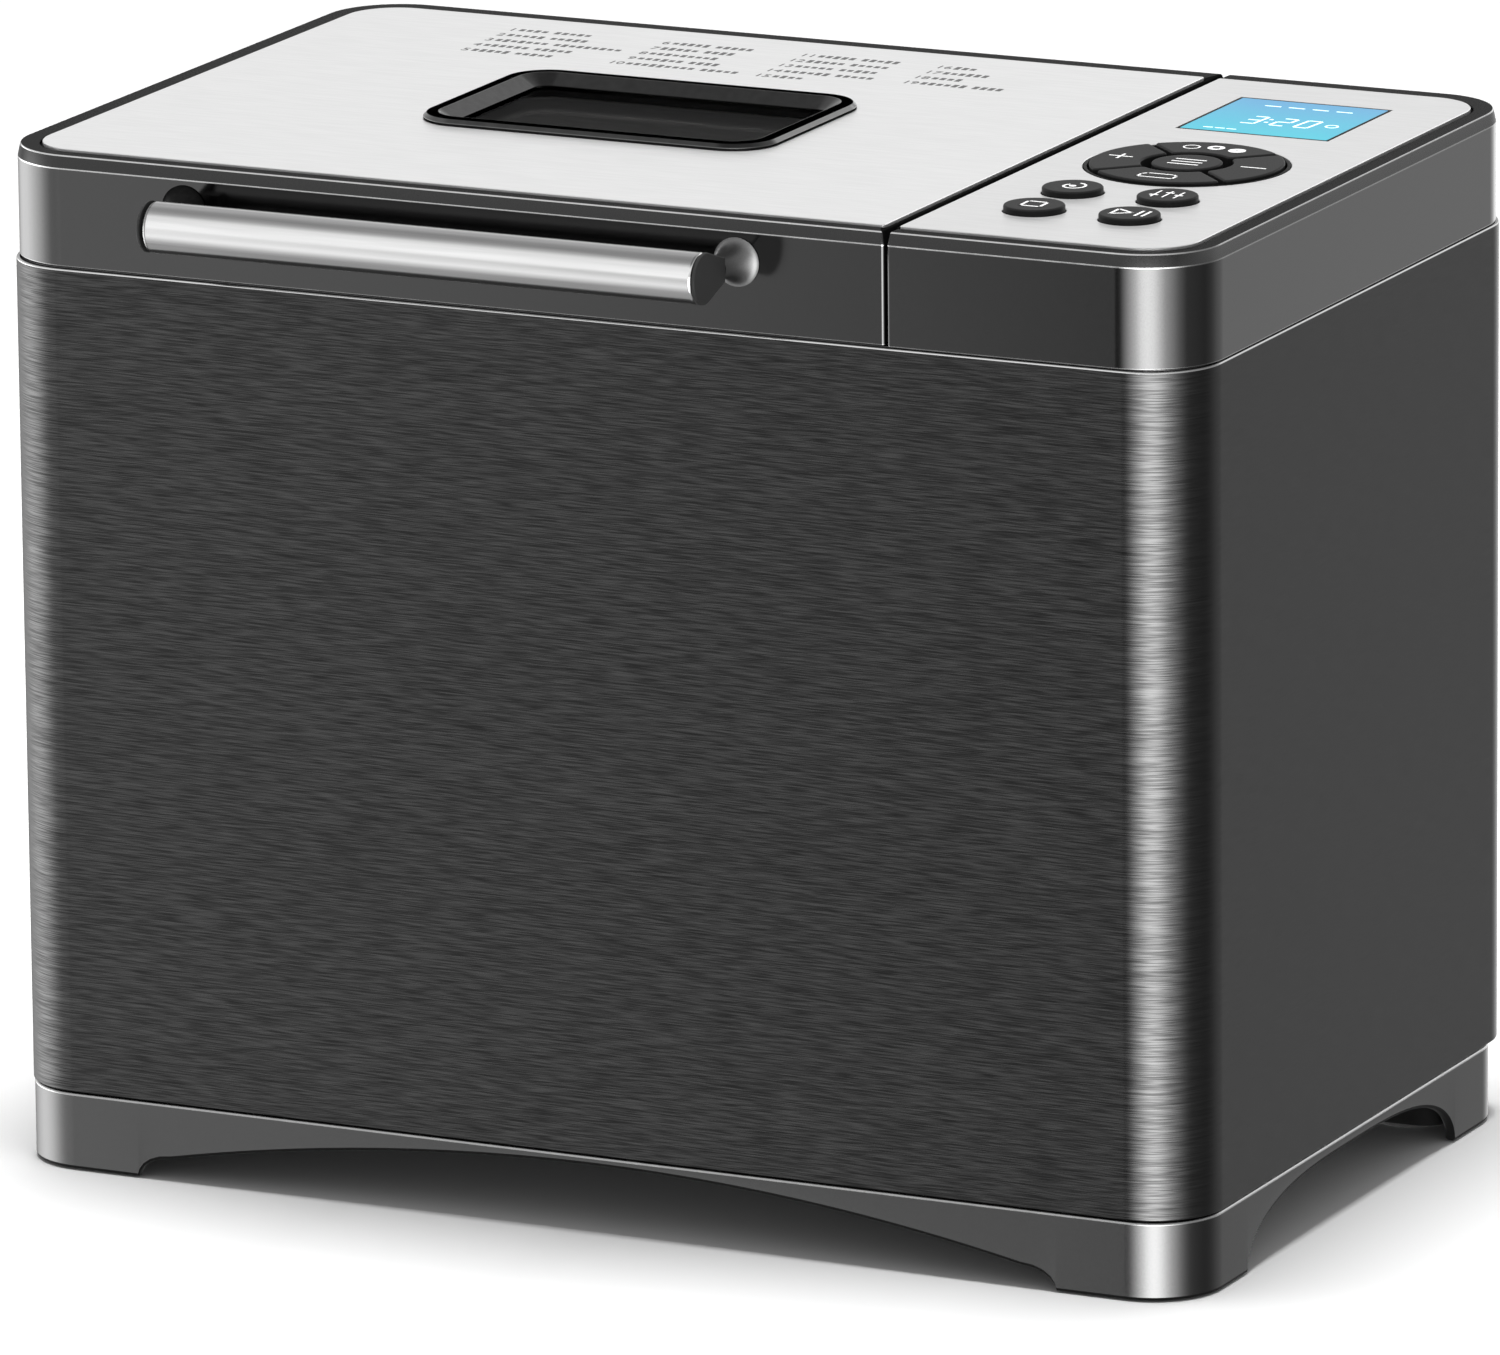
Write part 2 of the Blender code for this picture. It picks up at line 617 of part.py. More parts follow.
def arc_key(middle):
    """Quarter-ring key about the keypad's centre, with a stem under it."""
    inner, outer = ARC_RADII
    steps = 6
    points = []
    for radius, sign in ((inner, 1), (outer, -1)):
        half = math.pi / 4 - ARC_GAP / radius
        for step in range(steps + 1):
            points.append(about_pad(radius, math.radians(middle) + sign * half * (2 * step / steps - 1)))
    cap = loft([level(points, KEY_BOTTOM), level(points, KEY_TOP)])
    return join(cap, prism(circle(arc_stem(middle), STEM_RADIUS, 8), STEM_BOTTOM, KEY_BOTTOM + 0.001))


def round_key(centre, radius, bottom, top):
    """Round cap with a softened edge and a stem, turned in one piece."""
    profile = ((STEM_RADIUS, STEM_BOTTOM), (STEM_RADIUS, bottom), (radius, bottom), (radius, top - 0.0005),
               (radius - 0.0006, top))
    return turned(profile, centre)


def control_board():
    """Circuit board with a tact switch under each key."""
    board = block(0.0970, 0.1720, -0.1000, 0.0960, *BOARD_Z)
    places = [PAD_CENTRE] + [arc_stem(angle) for angle in ARC_KEYS.values()] + list(ROUND_KEYS.values())
    half = 0.003
    for x, y in places:
        board = join(board, block(x - half, x + half, y - half, y + half, BOARD_Z[1] - 0.0002, SWITCH_TOP))
    return board


# ---------------------------------------------------------------- oven
def oven_chamber():
    centre = (OVEN_X, 0)
    inner = centred(centre, OVEN_HALF, OVEN_RADIUS)
    outer = centred(centre, OVEN_HALF, OVEN_RADIUS, -OVEN_SHEET)
    flange = centred(centre, OVEN_HALF, OVEN_RADIUS, -0.009)
    top = DECK_Z[0] - GAP
    chamber = loft([level(outer, OVEN_FLOOR), level(outer, top - 0.0012), level(flange, top - 0.0012),
                    level(flange, top), level(inner, top), level(inner, OVEN_FLOOR + OVEN_SHEET)])
    chamber = cut(chamber, prism(circle(centre, 0.0155), 0.08, 0.10))
    for y in (-ELEMENT_LEG_Y, ELEMENT_LEG_Y):
        chamber = cut(chamber, rod((0.05, y, ELEMENT_Z), (0.07, y, ELEMENT_Z), 0.0058, 16))
    return cut(chamber, rod((0.05, *SENSOR_YZ), (0.07, *SENSOR_YZ), 0.0030))


def heating_element():
    """Tube bent to a rounded rectangle above the oven floor, its two legs leaving at the right."""
    loop = centred((OVEN_X, 0), (OVEN_HALF[0] - 0.010, OVEN_HALF[1] - 0.010), 0.018)
    corners = CORNER_STEPS + 1
    order = loop[2 * corners:] + loop[:2 * corners]
    leg_x = OVEN_X + OVEN_HALF[0] - 0.010
    bend = 0.008
    start = [(0.0720, ELEMENT_LEG_Y), (leg_x + bend - 0.004, ELEMENT_LEG_Y),
             (leg_x + 0.001, ELEMENT_LEG_Y + 0.003), (leg_x, ELEMENT_LEG_Y + bend)]
    end = [(x, -y) for x, y in reversed(start)]
    return tube([Vector((x, y, ELEMENT_Z)) for x, y in start + order + end], ELEMENT_RADIUS)


def terminal_bushing(y):
    """Ceramic sleeve that carries an element leg through the oven wall."""
    rings = []
    for x, radius in ((0.0575, 0.0055), (0.0613, 0.0055), (0.0613, 0.0080), (0.0640, 0.0080),
                      (0.0640, 0.0055), (0.0690, 0.0055), (0.0690, 0.0036), (0.0575, 0.0036)):
        rings.append([(x, ring_y, z) for ring_y, z in circle((y, ELEMENT_Z), radius, 12)])
    return loft(rings, True)


def temperature_sensor():
    """Probe through the oven wall, with its flange outside."""
    rings = []
    for x, radius in ((0.0480, 0.0025), (0.0614, 0.0025), (0.0614, 0.0055), (0.0650, 0.0055),
                      (0.0650, 0.0030), (0.0740, 0.0030)):
        rings.append([(x, y, z) for y, z in circle(SENSOR_YZ, radius, 8)])
    return loft(rings)


def pan_seat():
    floor = OVEN_FLOOR + OVEN_SHEET + GAP
    profile = ((0.0460, floor), (0.0460, floor + 0.0014), (0.0412, floor + 0.0014), (0.0412, floor + 0.0110),
               (0.0384, floor + 0.0110), (0.0384, floor))
    return turned(profile, (OVEN_X, 0), True, 20)


# ---------------------------------------------------------------- pan
def bread_pan():
    centre = (OVEN_X, 0)
    loops = [level(centred(centre, PAN_HALF_BOTTOM, PAN_RADIUS), PAN_BOTTOM),
             level(centred(centre, PAN_HALF_TOP, PAN_RADIUS), PAN_RIM - 0.0030),
             level(centred(centre, PAN_HALF_TOP, PAN_RADIUS, -0.0030), PAN_RIM - 0.0030),
             level(centred(centre, PAN_HALF_TOP, PAN_RADIUS, -0.0030), PAN_RIM - 0.0010),
             level(centred(centre, PAN_HALF_TOP, PAN_RADIUS, -0.0018), PAN_RIM),
             level(centred(centre, PAN_HALF_TOP, PAN_RADIUS, PAN_WALL), PAN_RIM),
             level(centred(centre, PAN_HALF_BOTTOM, PAN_RADIUS, PAN_WALL), PAN_BOTTOM + PAN_WALL)]
    pan = loft(loops)
    for side in (-1, 1):
        near = OVEN_X + side * (PAN_HALF_TOP[0] - 0.0012)
        far = OVEN_X + side * (PAN_HALF_TOP[0] + 0.0034)
        ear = block(min(near, far), max(near, far), -0.008, 0.008, BAIL_Z - 0.0075, PAN_RIM - 0.0020)
        pan = join(pan, ear)
        tip = OVEN_X + side * (PAN_HALF_TOP[0] + 0.0006)
        pan = cut(pan, rod((tip, 0, BAIL_Z), (OVEN_X + side * 0.09, 0, BAIL_Z), BAIL_RADIUS + GAP))
    return cut(pan, prism(circle(centre, 0.0093), 0.10, 0.12))


def pan_base_ring():
    low = OVEN_FLOOR + OVEN_SHEET + 0.0006
    profile = ((0.0376, low), (0.0376, PAN_BOTTOM - 0.0020), (0.0420, PAN_BOTTOM - 0.0020),
               (0.0420, PAN_BOTTOM - GAP), (0.0340, PAN_BOTTOM - GAP), (0.0340, low))
    return turned(profile, (OVEN_X, 0), True, 20)


def pan_bushing():
    """Bearing through the pan's floor: flange under the floor, collar inside."""
    profile = ((0.0130, 0.1080), (0.0130, PAN_BOTTOM - GAP), (0.0090, PAN_BOTTOM - GAP), (0.0090, 0.1170),
               (SHAFT_RADIUS + GAP, 0.1170), (SHAFT_RADIUS + GAP, 0.1080))
    return turned(profile, (OVEN_X, 0), True)


def paddle_shaft():
    """Upright shaft with the driven wing of the coupling at its foot."""
    profile = ((SHAFT_RADIUS, 0.1045), (SHAFT_RADIUS, 0.1430), (SHAFT_RADIUS - 0.001, 0.1445))
    shaft = turned(profile, (OVEN_X, 0))
    wing = block(OVEN_X - 0.0090, OVEN_X + 0.0090, -0.0025, 0.0025, 0.1030, 0.1072)
    return join(shaft, wing)


def kneading_paddle():
    """Hub on the shaft with one swept blade, low over the pan floor."""
    low = 0.1175
    hub = turned(((0.0085, low), (0.0070, 0.1400), (0.0050, 0.1470)), (OVEN_X, 0))
    blade = []
    for reach, half, top in ((0.004, 0.0030, 0.1400), (0.020, 0.0026, 0.1360), (0.034, 0.0020, 0.1290),
                             (0.039, 0.0012, 0.1230)):
        lean = reach * 0.22
        blade.append([(OVEN_X + reach, lean - half, low), (OVEN_X + reach, lean + half, low),
                      (OVEN_X + reach, lean + half * 0.5, top), (OVEN_X + reach, lean - half * 0.5, top)])
    paddle = join(hub, loft(blade))
    return cut(paddle, prism(circle((OVEN_X, 0), SHAFT_RADIUS + GAP), 0.11, 0.1450 + GAP))


def bail_handle():
    """Wire handle folded down to the front, with its tips in the pan's ears."""
    tip = PAN_HALF_TOP[0] + 0.0008
    arm = PAN_HALF_TOP[0] + 0.0070
    lift = math.radians(10)
    side = [(tip, 0.0), (arm - 0.002, 0.0), (arm, 0.002), (arm, BAIL_REACH - 0.008),
            (arm - 0.0023, BAIL_REACH - 0.0023), (arm - 0.008, BAIL_REACH)]
    path = side + [(-x, reach) for x, reach in reversed(side)]
    points = []
    for x, reach in path:
        points.append(Vector((OVEN_X + x, -reach * math.cos(lift), BAIL_Z + reach * math.sin(lift))))
    return tube(points, BAIL_RADIUS)


# ---------------------------------------------------------------- drive
def chassis():
    """Sheet plate on four posts, with two walls that carry the oven."""
    plate = prism(outline(-0.1500, 0.1640, -0.0700, 0.0700, 0.008), *CHASSIS_Z)
    for x in (-0.141, 0.155):
        for y in (-0.061, 0.061):
            post = centred((x, y), (0.007, 0.007), 0.001)
            plate = join(plate, prism(post, BODY_BOTTOM, CHASSIS_Z[0] + 0.001))
    left, right = OVEN_X - 0.085, OVEN_X + 0.085
    for y in (-0.052, 0.052):
        wall = block(left, right, y - 0.001, y + 0.001, CHASSIS_Z[1] - 0.001, OVEN_FLOOR - GAP)
        plate = join(plate, wall)
    for x, radius in ((OVEN_X, 0.0125), (MOTOR_X, 0.0080)):
        plate = cut(plate, prism(circle((x, 0), radius), 0.05, 0.0585))
    return plate


def bearing_housing():
    """Tall bearing with its flange on the chassis and its collar through the oven floor."""
    bore = SHAFT_RADIUS + GAP
    profile = ((0.0120, 0.0540), (0.0120, CHASSIS_Z[1] + GAP), (0.0240, CHASSIS_Z[1] + GAP), (0.0240, 0.0610),
               (0.0150, 0.0630), (0.0130, 0.0960), (bore, 0.0960), (bore, 0.0540))
    return turned(profile, (OVEN_X, 0), True)


def drive_shaft():
    """Shaft with the driving dog on top: a disc with two upright lugs beside the wing."""
    profile = ((SHAFT_RADIUS, 0.0310), (SHAFT_RADIUS, 0.0966), (0.0095, 0.0966), (0.0095, 0.1000))
    shaft = turned(profile, (OVEN_X, 0))
    for side in (-1, 1):
        lug = sorted((side * 0.0032, side * 0.0070))
        shaft = join(shaft, block(OVEN_X - 0.0060, OVEN_X + 0.0060, *lug, 0.0990, 0.1040))
    return shaft


def grooved_pulley(centre, pitch, bore, sides):
    """Flanged pulley whose groove holds the belt, with a bore for its shaft."""
    floor = pitch - BELT_THICKNESS / 2 - GAP
    edge = pitch + PULLEY_FLANGE
    bottom, top = PULLEY_Z
    groove_low = BELT_Z[0] - 0.0004
    groove_high = BELT_Z[1] + 0.0004
    profile = ((bore, bottom), (edge, bottom), (edge, groove_low), (floor, groove_low),
               (floor, groove_high), (edge, groove_high), (edge, top), (bore, top))
    return turned(profile, centre, True, sides)


def belt_loop(offset):
    """Outline of the belt about both pulleys, offset from the pitch line."""
    span = MOTOR_X - OVEN_X
    tangent = math.acos((LARGE_PULLEY - SMALL_PULLEY) / span)
    points = []
    for centre, pitch, start, end, steps in ((OVEN_X, LARGE_PULLEY, tangent, math.tau - tangent, 14),
                                             (MOTOR_X, SMALL_PULLEY, -tangent, tangent, 6)):
        for step in range(steps + 1):
            angle = start + (end - start) * step / steps
            points.append((centre + (pitch + offset) * math.cos(angle), (pitch + offset) * math.sin(angle)))
    return points


def drive_belt():
    inner = belt_loop(-BELT_THICKNESS / 2 + 0.0003)
    outer = belt_loop(BELT_THICKNESS / 2)
    low, high = BELT_Z
    return loft([level(outer, low), level(outer, high), level(inner, high), level(inner, low)], True)


def motor_housing():
    """Motor can on a flanged foot, with a passage for the shaft."""
    bore = MOTOR_SHAFT_RADIUS + 0.0005
    foot = CHASSIS_Z[1] + GAP
    low, high = MOTOR_Z
    profile = ((bore, foot), (0.0380, foot), (0.0380, foot + 0.0020), (0.0200, foot + 0.0020), (0.0200, low),
               (0.0310, low), (MOTOR_RADIUS, low + 0.0040), (MOTOR_RADIUS, high - 0.0040), (0.0300, high),
               (bore, high))
    return turned(profile, (MOTOR_X, 0), True)


def motor_shaft():
    return turned(((MOTOR_SHAFT_RADIUS, 0.0310), (MOTOR_SHAFT_RADIUS, 0.1420)), (MOTOR_X, 0), sides=10)


def motor_fan():
    """Hub with seven flat blades on a backing disc."""
    profile = ((0.0240, 0.1310), (0.0240, 0.1322), (0.0060, 0.1322), (0.0060, 0.1400),
               (MOTOR_SHAFT_RADIUS + GAP, 0.1400), (MOTOR_SHAFT_RADIUS + GAP, 0.1310))
    fan = turned(profile, (MOTOR_X, 0), True, 21)
    for index in range(7):
        turn = math.tau * index / 7
        along = Vector((math.cos(turn), math.sin(turn), 0))
        across = Vector((-math.sin(turn), math.cos(turn), 0)) * 0.0006
        base = Vector((MOTOR_X, 0, 0.1315))
        top = Vector((0, 0, 0.0075))
        loops = []
        for reach in (0.0050, 0.0235):
            point = base + along * reach
            loops.append([point - across, point + across, point + across + top, point - across + top])
        fan = join(fan, loft(loops))
    return fan


def power_board():
    """Upright supply board in the right bay, with its transformer, relay and connector."""
    board = block(0.1690, 0.1706, 0.030, 0.090, 0.090, 0.210)
    transformer = (0.038, 0.074, 0.100, 0.136, 0.028)
    relay = (0.036, 0.054, 0.150, 0.172, 0.016)
    connector = (0.062, 0.084, 0.180, 0.200, 0.012)
    for y_low, y_high, z_low, z_high, depth in (transformer, relay, connector):
        board = join(board, block(0.1691 - depth, 0.1695, y_low, y_high, z_low, z_high))
    return board


# ---------------------------------------------------------------- assembly
def build_body(machine):
    piece("base_tray", base_tray(), GUNMETAL, machine)
    profile = ((FOOT_RADIUS - 0.0006, 0.0), (FOOT_RADIUS, 0.0006), (FOOT_RADIUS, FOOT_HEIGHT))
    for word, foot_y in zip(("front", "rear"), FOOT_Y):
        for side, foot_x in (("left", -FOOT_X), ("right", FOOT_X)):
            foot = turned(profile, (foot_x, foot_y), sides=20)
            piece("foot_" + word + "_" + side, foot, RUBBER, machine, (foot_x, foot_y, 0))
    piece("body_shell", body_shell(), BRUSHED, machine)
    piece("rear_panel", rear_panel(), GUNMETAL, machine)
    piece("cord_gland", cord_gland(), BLACK, machine)
    piece("upper_housing", upper_housing(), GUNMETAL, machine)
    piece("chassis", chassis(), STEEL, machine)


def build_panel(machine):
    piece("panel_plate", panel_plate(), SILVER, machine)
    piece("lcd_display", block(*LCD_X, *LCD_Y, LCD_FLOOR, PLATE_Z[1]), LCD_BLUE, machine)
    piece("keypad_dish", keypad_dish(), BLACK, machine)
    for name, angle in ARC_KEYS.items():
        piece(name, arc_key(angle), KEY, machine, (*arc_stem(angle), KEY_BOTTOM))
    menu = round_key(PAD_CENTRE, MENU_RADIUS, KEY_BOTTOM, KEY_TOP)
    piece("menu_key", menu, KEY, machine, (*PAD_CENTRE, KEY_BOTTOM))
    for name, centre in ROUND_KEYS.items():
        key = round_key(centre, ROUND_KEY_RADIUS, KEY_BOTTOM, ROUND_KEY_TOP)
        piece(name, key, KEY, machine, (*centre, KEY_BOTTOM))
    piece("control_board", control_board(), BOARD, machine)
    piece("power_board", power_board(), BOARD, machine)


def build_lid(machine):
    lid = empty("lid_axis", (0, HINGE_Y, HINGE_Z), machine)
    piece("lid_frame", lid_frame(), GUNMETAL, lid)
    piece("lid_plate", lid_plate(), SILVER, lid)
    piece("window_bezel", window_bezel(), BLACK, lid)
    centre = (WINDOW_X, WINDOW_Y)
    piece("window_glass", prism(centred(centre, GLASS_HALF, BEZEL_RADIUS), 0.2862, 0.2886), GLASS, lid)
    piece("inner_glass", prism(centred(centre, LINER_GLASS_HALF, 0.010), 0.2813, 0.2838), GLASS, lid)
    piece("lid_liner", lid_liner(), STEEL, lid)
    piece("lid_seal", lid_seal(), SILICONE, lid)
    piece("handle_bar", handle_bar(), SILVER, lid)
    for word, side in (("left", -1), ("right", 1)):
        piece("handle_arm_" + word, handle_arm(side), BLACK, lid)
        piece("handle_post_" + word, handle_post(side), GUNMETAL, lid)
    for word, x in zip(("left", "right"), HINGE_X):
        piece("hinge_bracket_" + word, hinge_bracket(x), STEEL, machine)
        piece("hinge_pin_" + word, hinge_pin(x), STEEL, machine)


def build_oven(machine):
    piece("oven_chamber", oven_chamber(), STEEL, machine)
    piece("heating_element", heating_element(), COPPER, machine)
    piece("terminal_bushing_front", terminal_bushing(-ELEMENT_LEG_Y), CERAMIC, machine)
    piece("terminal_bushing_rear", terminal_bushing(ELEMENT_LEG_Y), CERAMIC, machine)
    piece("temperature_sensor", temperature_sensor(), STEEL, machine)
    piece("pan_seat", pan_seat(), CAST, machine)


def build_pan(machine):
    pan = empty("pan_carrier", (OVEN_X, 0, PAN_BOTTOM), machine)
    piece("bread_pan", bread_pan(), NONSTICK, pan)
    piece("pan_base_ring", pan_base_ring(), CAST, pan)
    piece("pan_bushing", pan_bushing(), CAST, pan)
    paddle_axis = empty("paddle_axis", (OVEN_X, 0, PAN_BOTTOM), pan)
    piece("paddle_shaft", paddle_shaft(), STEEL, paddle_axis)
    piece("kneading_paddle", kneading_paddle(), NONSTICK, paddle_axis)
    bail_axis = empty("bail_axis", (OVEN_X, 0, BAIL_Z), pan)
    piece("bail_handle", bail_handle(), STEEL, bail_axis)


def build_drive(machine):
    piece("bearing_housing", bearing_housing(), CAST, machine)
    drive = empty("drive_axis", (OVEN_X, 0, PULLEY_Z[0]), machine)
    piece("drive_shaft", drive_shaft(), STEEL, drive)
    large = grooved_pulley((OVEN_X, 0), LARGE_PULLEY, SHAFT_RADIUS + GAP, 28)
    piece("large_pulley", large, NYLON, drive)
    piece("drive_belt", drive_belt(), RUBBER, machine)
    piece("motor_housing", motor_housing(), COPPER, machine)
    motor = empty("motor_axis", (MOTOR_X, 0, PULLEY_Z[0]), machine)
    piece("motor_shaft", motor_shaft(), STEEL, motor)
    small = grooved_pulley((MOTOR_X, 0), SMALL_PULLEY, MOTOR_SHAFT_RADIUS + GAP, 16)
    piece("small_pulley", small, NYLON, motor)
    piece("motor_fan", motor_fan(), NYLON, motor)


def main():
    clear_scene()
    machine = empty("machine", (0, 0, 0))
    build_body(machine)
    build_panel(machine)
    build_lid(machine)
    build_oven(machine)
    build_pan(machine)
    build_drive(machine)


main()
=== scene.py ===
"""Looks of the bread machine: fine surfaces, materials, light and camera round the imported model.

Pieces are modelled in machine coordinates, whose x and y are measured from the centre of the body,
and are moved into the model's frame as they are made. Lengths are in metres.
"""
import json
import math
import random

import bmesh
import bpy
from mathutils import Matrix, Vector


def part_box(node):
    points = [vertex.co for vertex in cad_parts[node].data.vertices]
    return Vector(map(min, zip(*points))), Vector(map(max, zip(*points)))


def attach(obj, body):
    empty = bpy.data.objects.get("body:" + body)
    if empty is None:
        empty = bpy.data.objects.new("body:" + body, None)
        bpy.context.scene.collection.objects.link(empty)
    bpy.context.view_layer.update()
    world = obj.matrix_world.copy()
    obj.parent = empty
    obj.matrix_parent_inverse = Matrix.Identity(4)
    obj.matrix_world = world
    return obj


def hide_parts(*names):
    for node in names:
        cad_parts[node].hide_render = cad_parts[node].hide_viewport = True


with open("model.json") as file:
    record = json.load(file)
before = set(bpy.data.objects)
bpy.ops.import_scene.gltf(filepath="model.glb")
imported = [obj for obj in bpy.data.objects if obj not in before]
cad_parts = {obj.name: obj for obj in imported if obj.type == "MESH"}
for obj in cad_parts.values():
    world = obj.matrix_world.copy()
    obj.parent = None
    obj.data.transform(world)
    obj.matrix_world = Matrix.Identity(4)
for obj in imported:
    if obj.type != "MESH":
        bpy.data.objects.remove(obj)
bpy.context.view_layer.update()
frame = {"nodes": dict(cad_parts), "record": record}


# ---------------------------------------------------------------- places taken from the model
CENTRE_Y = sum(corner.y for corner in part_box("body_shell")) / 2


def edges(node):
    """Lowest and highest x, y and z of a CAD node in machine coordinates."""
    low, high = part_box(node)
    return (low.x, high.x, low.y - CENTRE_Y, high.y - CENTRE_Y, low.z, high.z)


def middle(node):
    x_low, x_high, y_low, y_high, z_low, z_high = edges(node)
    return Vector(((x_low + x_high) / 2, (y_low + y_high) / 2, (z_low + z_high) / 2))


BODY = edges("body_shell")
BASE = edges("base_tray")
LID = edges("lid_frame")
HOUSING = edges("upper_housing")
LID_PLATE = edges("lid_plate")
PANEL = edges("panel_plate")
BEZEL = edges("window_bezel")
GLASS = edges("window_glass")
INNER_GLASS = edges("inner_glass")
LCD = edges("lcd_display")
BAR = edges("handle_bar")
CHAMBER = edges("oven_chamber")
PAN = edges("bread_pan")
DECK_TOP = BODY[5] + 0.0003
OVEN_X = -0.040
OVEN_CENTRE = (OVEN_X, 0.0)

GAP = 0.0003
SHEET = 0.0010
BODY_RADIUS = 0.0205
WRAP_END = 0.158
SKIRT_WALL = 0.0028
BASE_ROOF = 0.0206
FRONT_ARCH_HALF = 0.1405
FRONT_ARCH_SHOULDER = (0.1300, 0.0066)
FRONT_ARCH_CROWN = 0.0198
SIDE_ARCH_HALF = 0.072
SIDE_ARCH_CENTRE = -0.0040
SIDE_ARCH_CROWN = 0.0189
FEET = ("front_left", "front_right", "rear_left", "rear_right")

COVER_RIGHT = -LID[0]
COVER_HALF_Y = -BODY[2] - (BODY[1] - COVER_RIGHT)
COVER_RADIUS = 0.0220
COVER_CHAMFER = 0.2859
COVER_TOP = 0.2896
CHAMFER_INSET = 0.0008
COVER_WALL = 0.0025
CEILING = 0.2857
RECESS_FLOOR = 0.2887
RECESS_MARGIN = 0.0006
PLATE_RADIUS = 0.015
BOX_LEFT = LID[1] + 0.0006
SMALL_CORNER = 0.0010
RECESS_CORNER = 0.0012
SHEET_CORNER = 0.0008
SHEET_EASE = 0.0002
COVER_STEPS = 14                # spans in each round corner
CUT_SPAN = (0.28, 0.30)         # heights that a cutter through a cover's top spans

WINDOW = middle("window_bezel")[:2]
WINDOW_HALF = (0.0519, 0.0319)    # half size of the hole through the lid
WINDOW_RADIUS = 0.010
BEZEL_RADIUS = 0.013
HINGE_Y = 0.1083
HINGE_Z = 0.2648
HINGE_X = (-0.129, 0.041)
EAR_HALF = 0.006
REAR_WALL_FOOT = 0.2612
REAR_SPAN = (0.10, 0.12)        # y that a cutter through the rear panel spans
KNUCKLE_RADIUS = 0.0040
PIN_RADIUS = 0.0018

PAD_CENTRE = (0.1320, -0.0055)
PAD_RADIUS = 0.0283
PAD_INNER = 0.0273
ARC_RADII = (0.0127, 0.0268)
ARC_GAP = 0.0008
KEY_BOTTOM = 0.2864
KEY_TOP = 0.2911
KEY_EDGE = 0.0006
MENU_RADIUS = 0.0098
ROUND_KEY_RADIUS = 0.0084
ROUND_KEY_TOP = 0.2920
ROUND_KEYS = {"knead_key": (0.1179, -0.0498), "custom_key": (0.1460, -0.0498),
              "stop_key": (0.1179, -0.0748), "start_key": (0.1460, -0.0748)}
ARC_KEYS = {"plus_key": 180, "colour_key": 90, "minus_key": 0, "loaf_key": 270}

SYMBOL_SCALE = 1.3
# left edge of each column of the programme list, and the ticks in each word of its rows
LIST_COLUMNS = (-0.1208, -0.0722, -0.0265, 0.0158)
LIST_WORDS = (((4, 5), (5, 5), (7, 9), (6, 5), (5, 5)), ((5, 5), (5, 4), (9,), (6, 4), (9, 5)),
              ((5, 5), (5, 5), (5, 5), (6, 5), (4,)), ((3,), (6,), (4,), (6, 4)))
POST_RADII = (0.0033, 0.0068)
POST_SHIFT = (-0.0022, 0.0006)

PRINT = 0.00004                 # thickness of a printed mark


# ---------------------------------------------------------------- mesh helpers
def arc(centre, radius, first, last, steps):
    """Points on an arc between two directions in degrees."""
    points = []
    for step in range(steps + 1):
        angle = math.radians(first + (last - first) * step / steps)
        points.append((centre[0] + radius * math.cos(angle), centre[1] + radius * math.sin(angle)))
    return points


def rounded_rect(bounds, radii, inset=0.0, steps=10):
    """Rounded rectangle pulled in by inset; radii run front left, front right, rear right, rear left."""
    x_min, x_max, y_min, y_max = bounds
    if not isinstance(radii, tuple):
        radii = (radii,) * 4
    corners = ((x_min, y_min, 1, 1), (x_max, y_min, -1, 1), (x_max, y_max, -1, -1), (x_min, y_max, 1, -1))
    points = []
    for index, ((x, y, to_x, to_y), radius) in enumerate(zip(corners, radii)):
        radius = max(radius - inset, 0.0004)
        centre = (x + to_x * (inset + radius), y + to_y * (inset + radius))
        points += arc(centre, radius, 180 + 90 * index, 270 + 90 * index, steps)
    return points


def about(centre, half):
    return (centre[0] - half[0], centre[0] + half[0], centre[1] - half[1], centre[1] + half[1])


def circle(centre, radius, sides=48):
    angles = [math.tau * side / sides for side in range(sides)]
    return [(centre[0] + radius * math.cos(a), centre[1] + radius * math.sin(a)) for a in angles]


def level(points, z):
    return [(x, y, z) for x, y in points]


def soften(corners, closed=False, steps=4):
    """Round the corners of a flat line of (across, up, radius) points; returns points and owner corners."""
    points = []
    owners = []
    count = len(corners)
    for index, (across, up, radius) in enumerate(corners):
        here = Vector((across, up))
        at_end = not closed and index in (0, count - 1)
        if radius <= 0 or at_end:
            points.append(here)
            owners.append(index)
            continue
        to_before = (Vector(corners[index - 1][:2]) - here).normalized()
        to_after = (Vector(corners[(index + 1) % count][:2]) - here).normalized()
        angle = to_before.angle(to_after)
        centre = here + (to_before + to_after).normalized() * (radius / math.sin(angle / 2))
        reach = radius / math.tan(angle / 2)
        first = here + to_before * reach - centre
        last = here + to_after * reach - centre
        start = math.atan2(first.y, first.x)
        turn = (math.atan2(last.y, last.x) - start + math.pi) % math.tau - math.pi
        for step in range(steps + 1):
            at = start + turn * step / steps
            points.append(centre + Vector((math.cos(at), math.sin(at))) * radius)
            owners.append(index)
    return points, owners


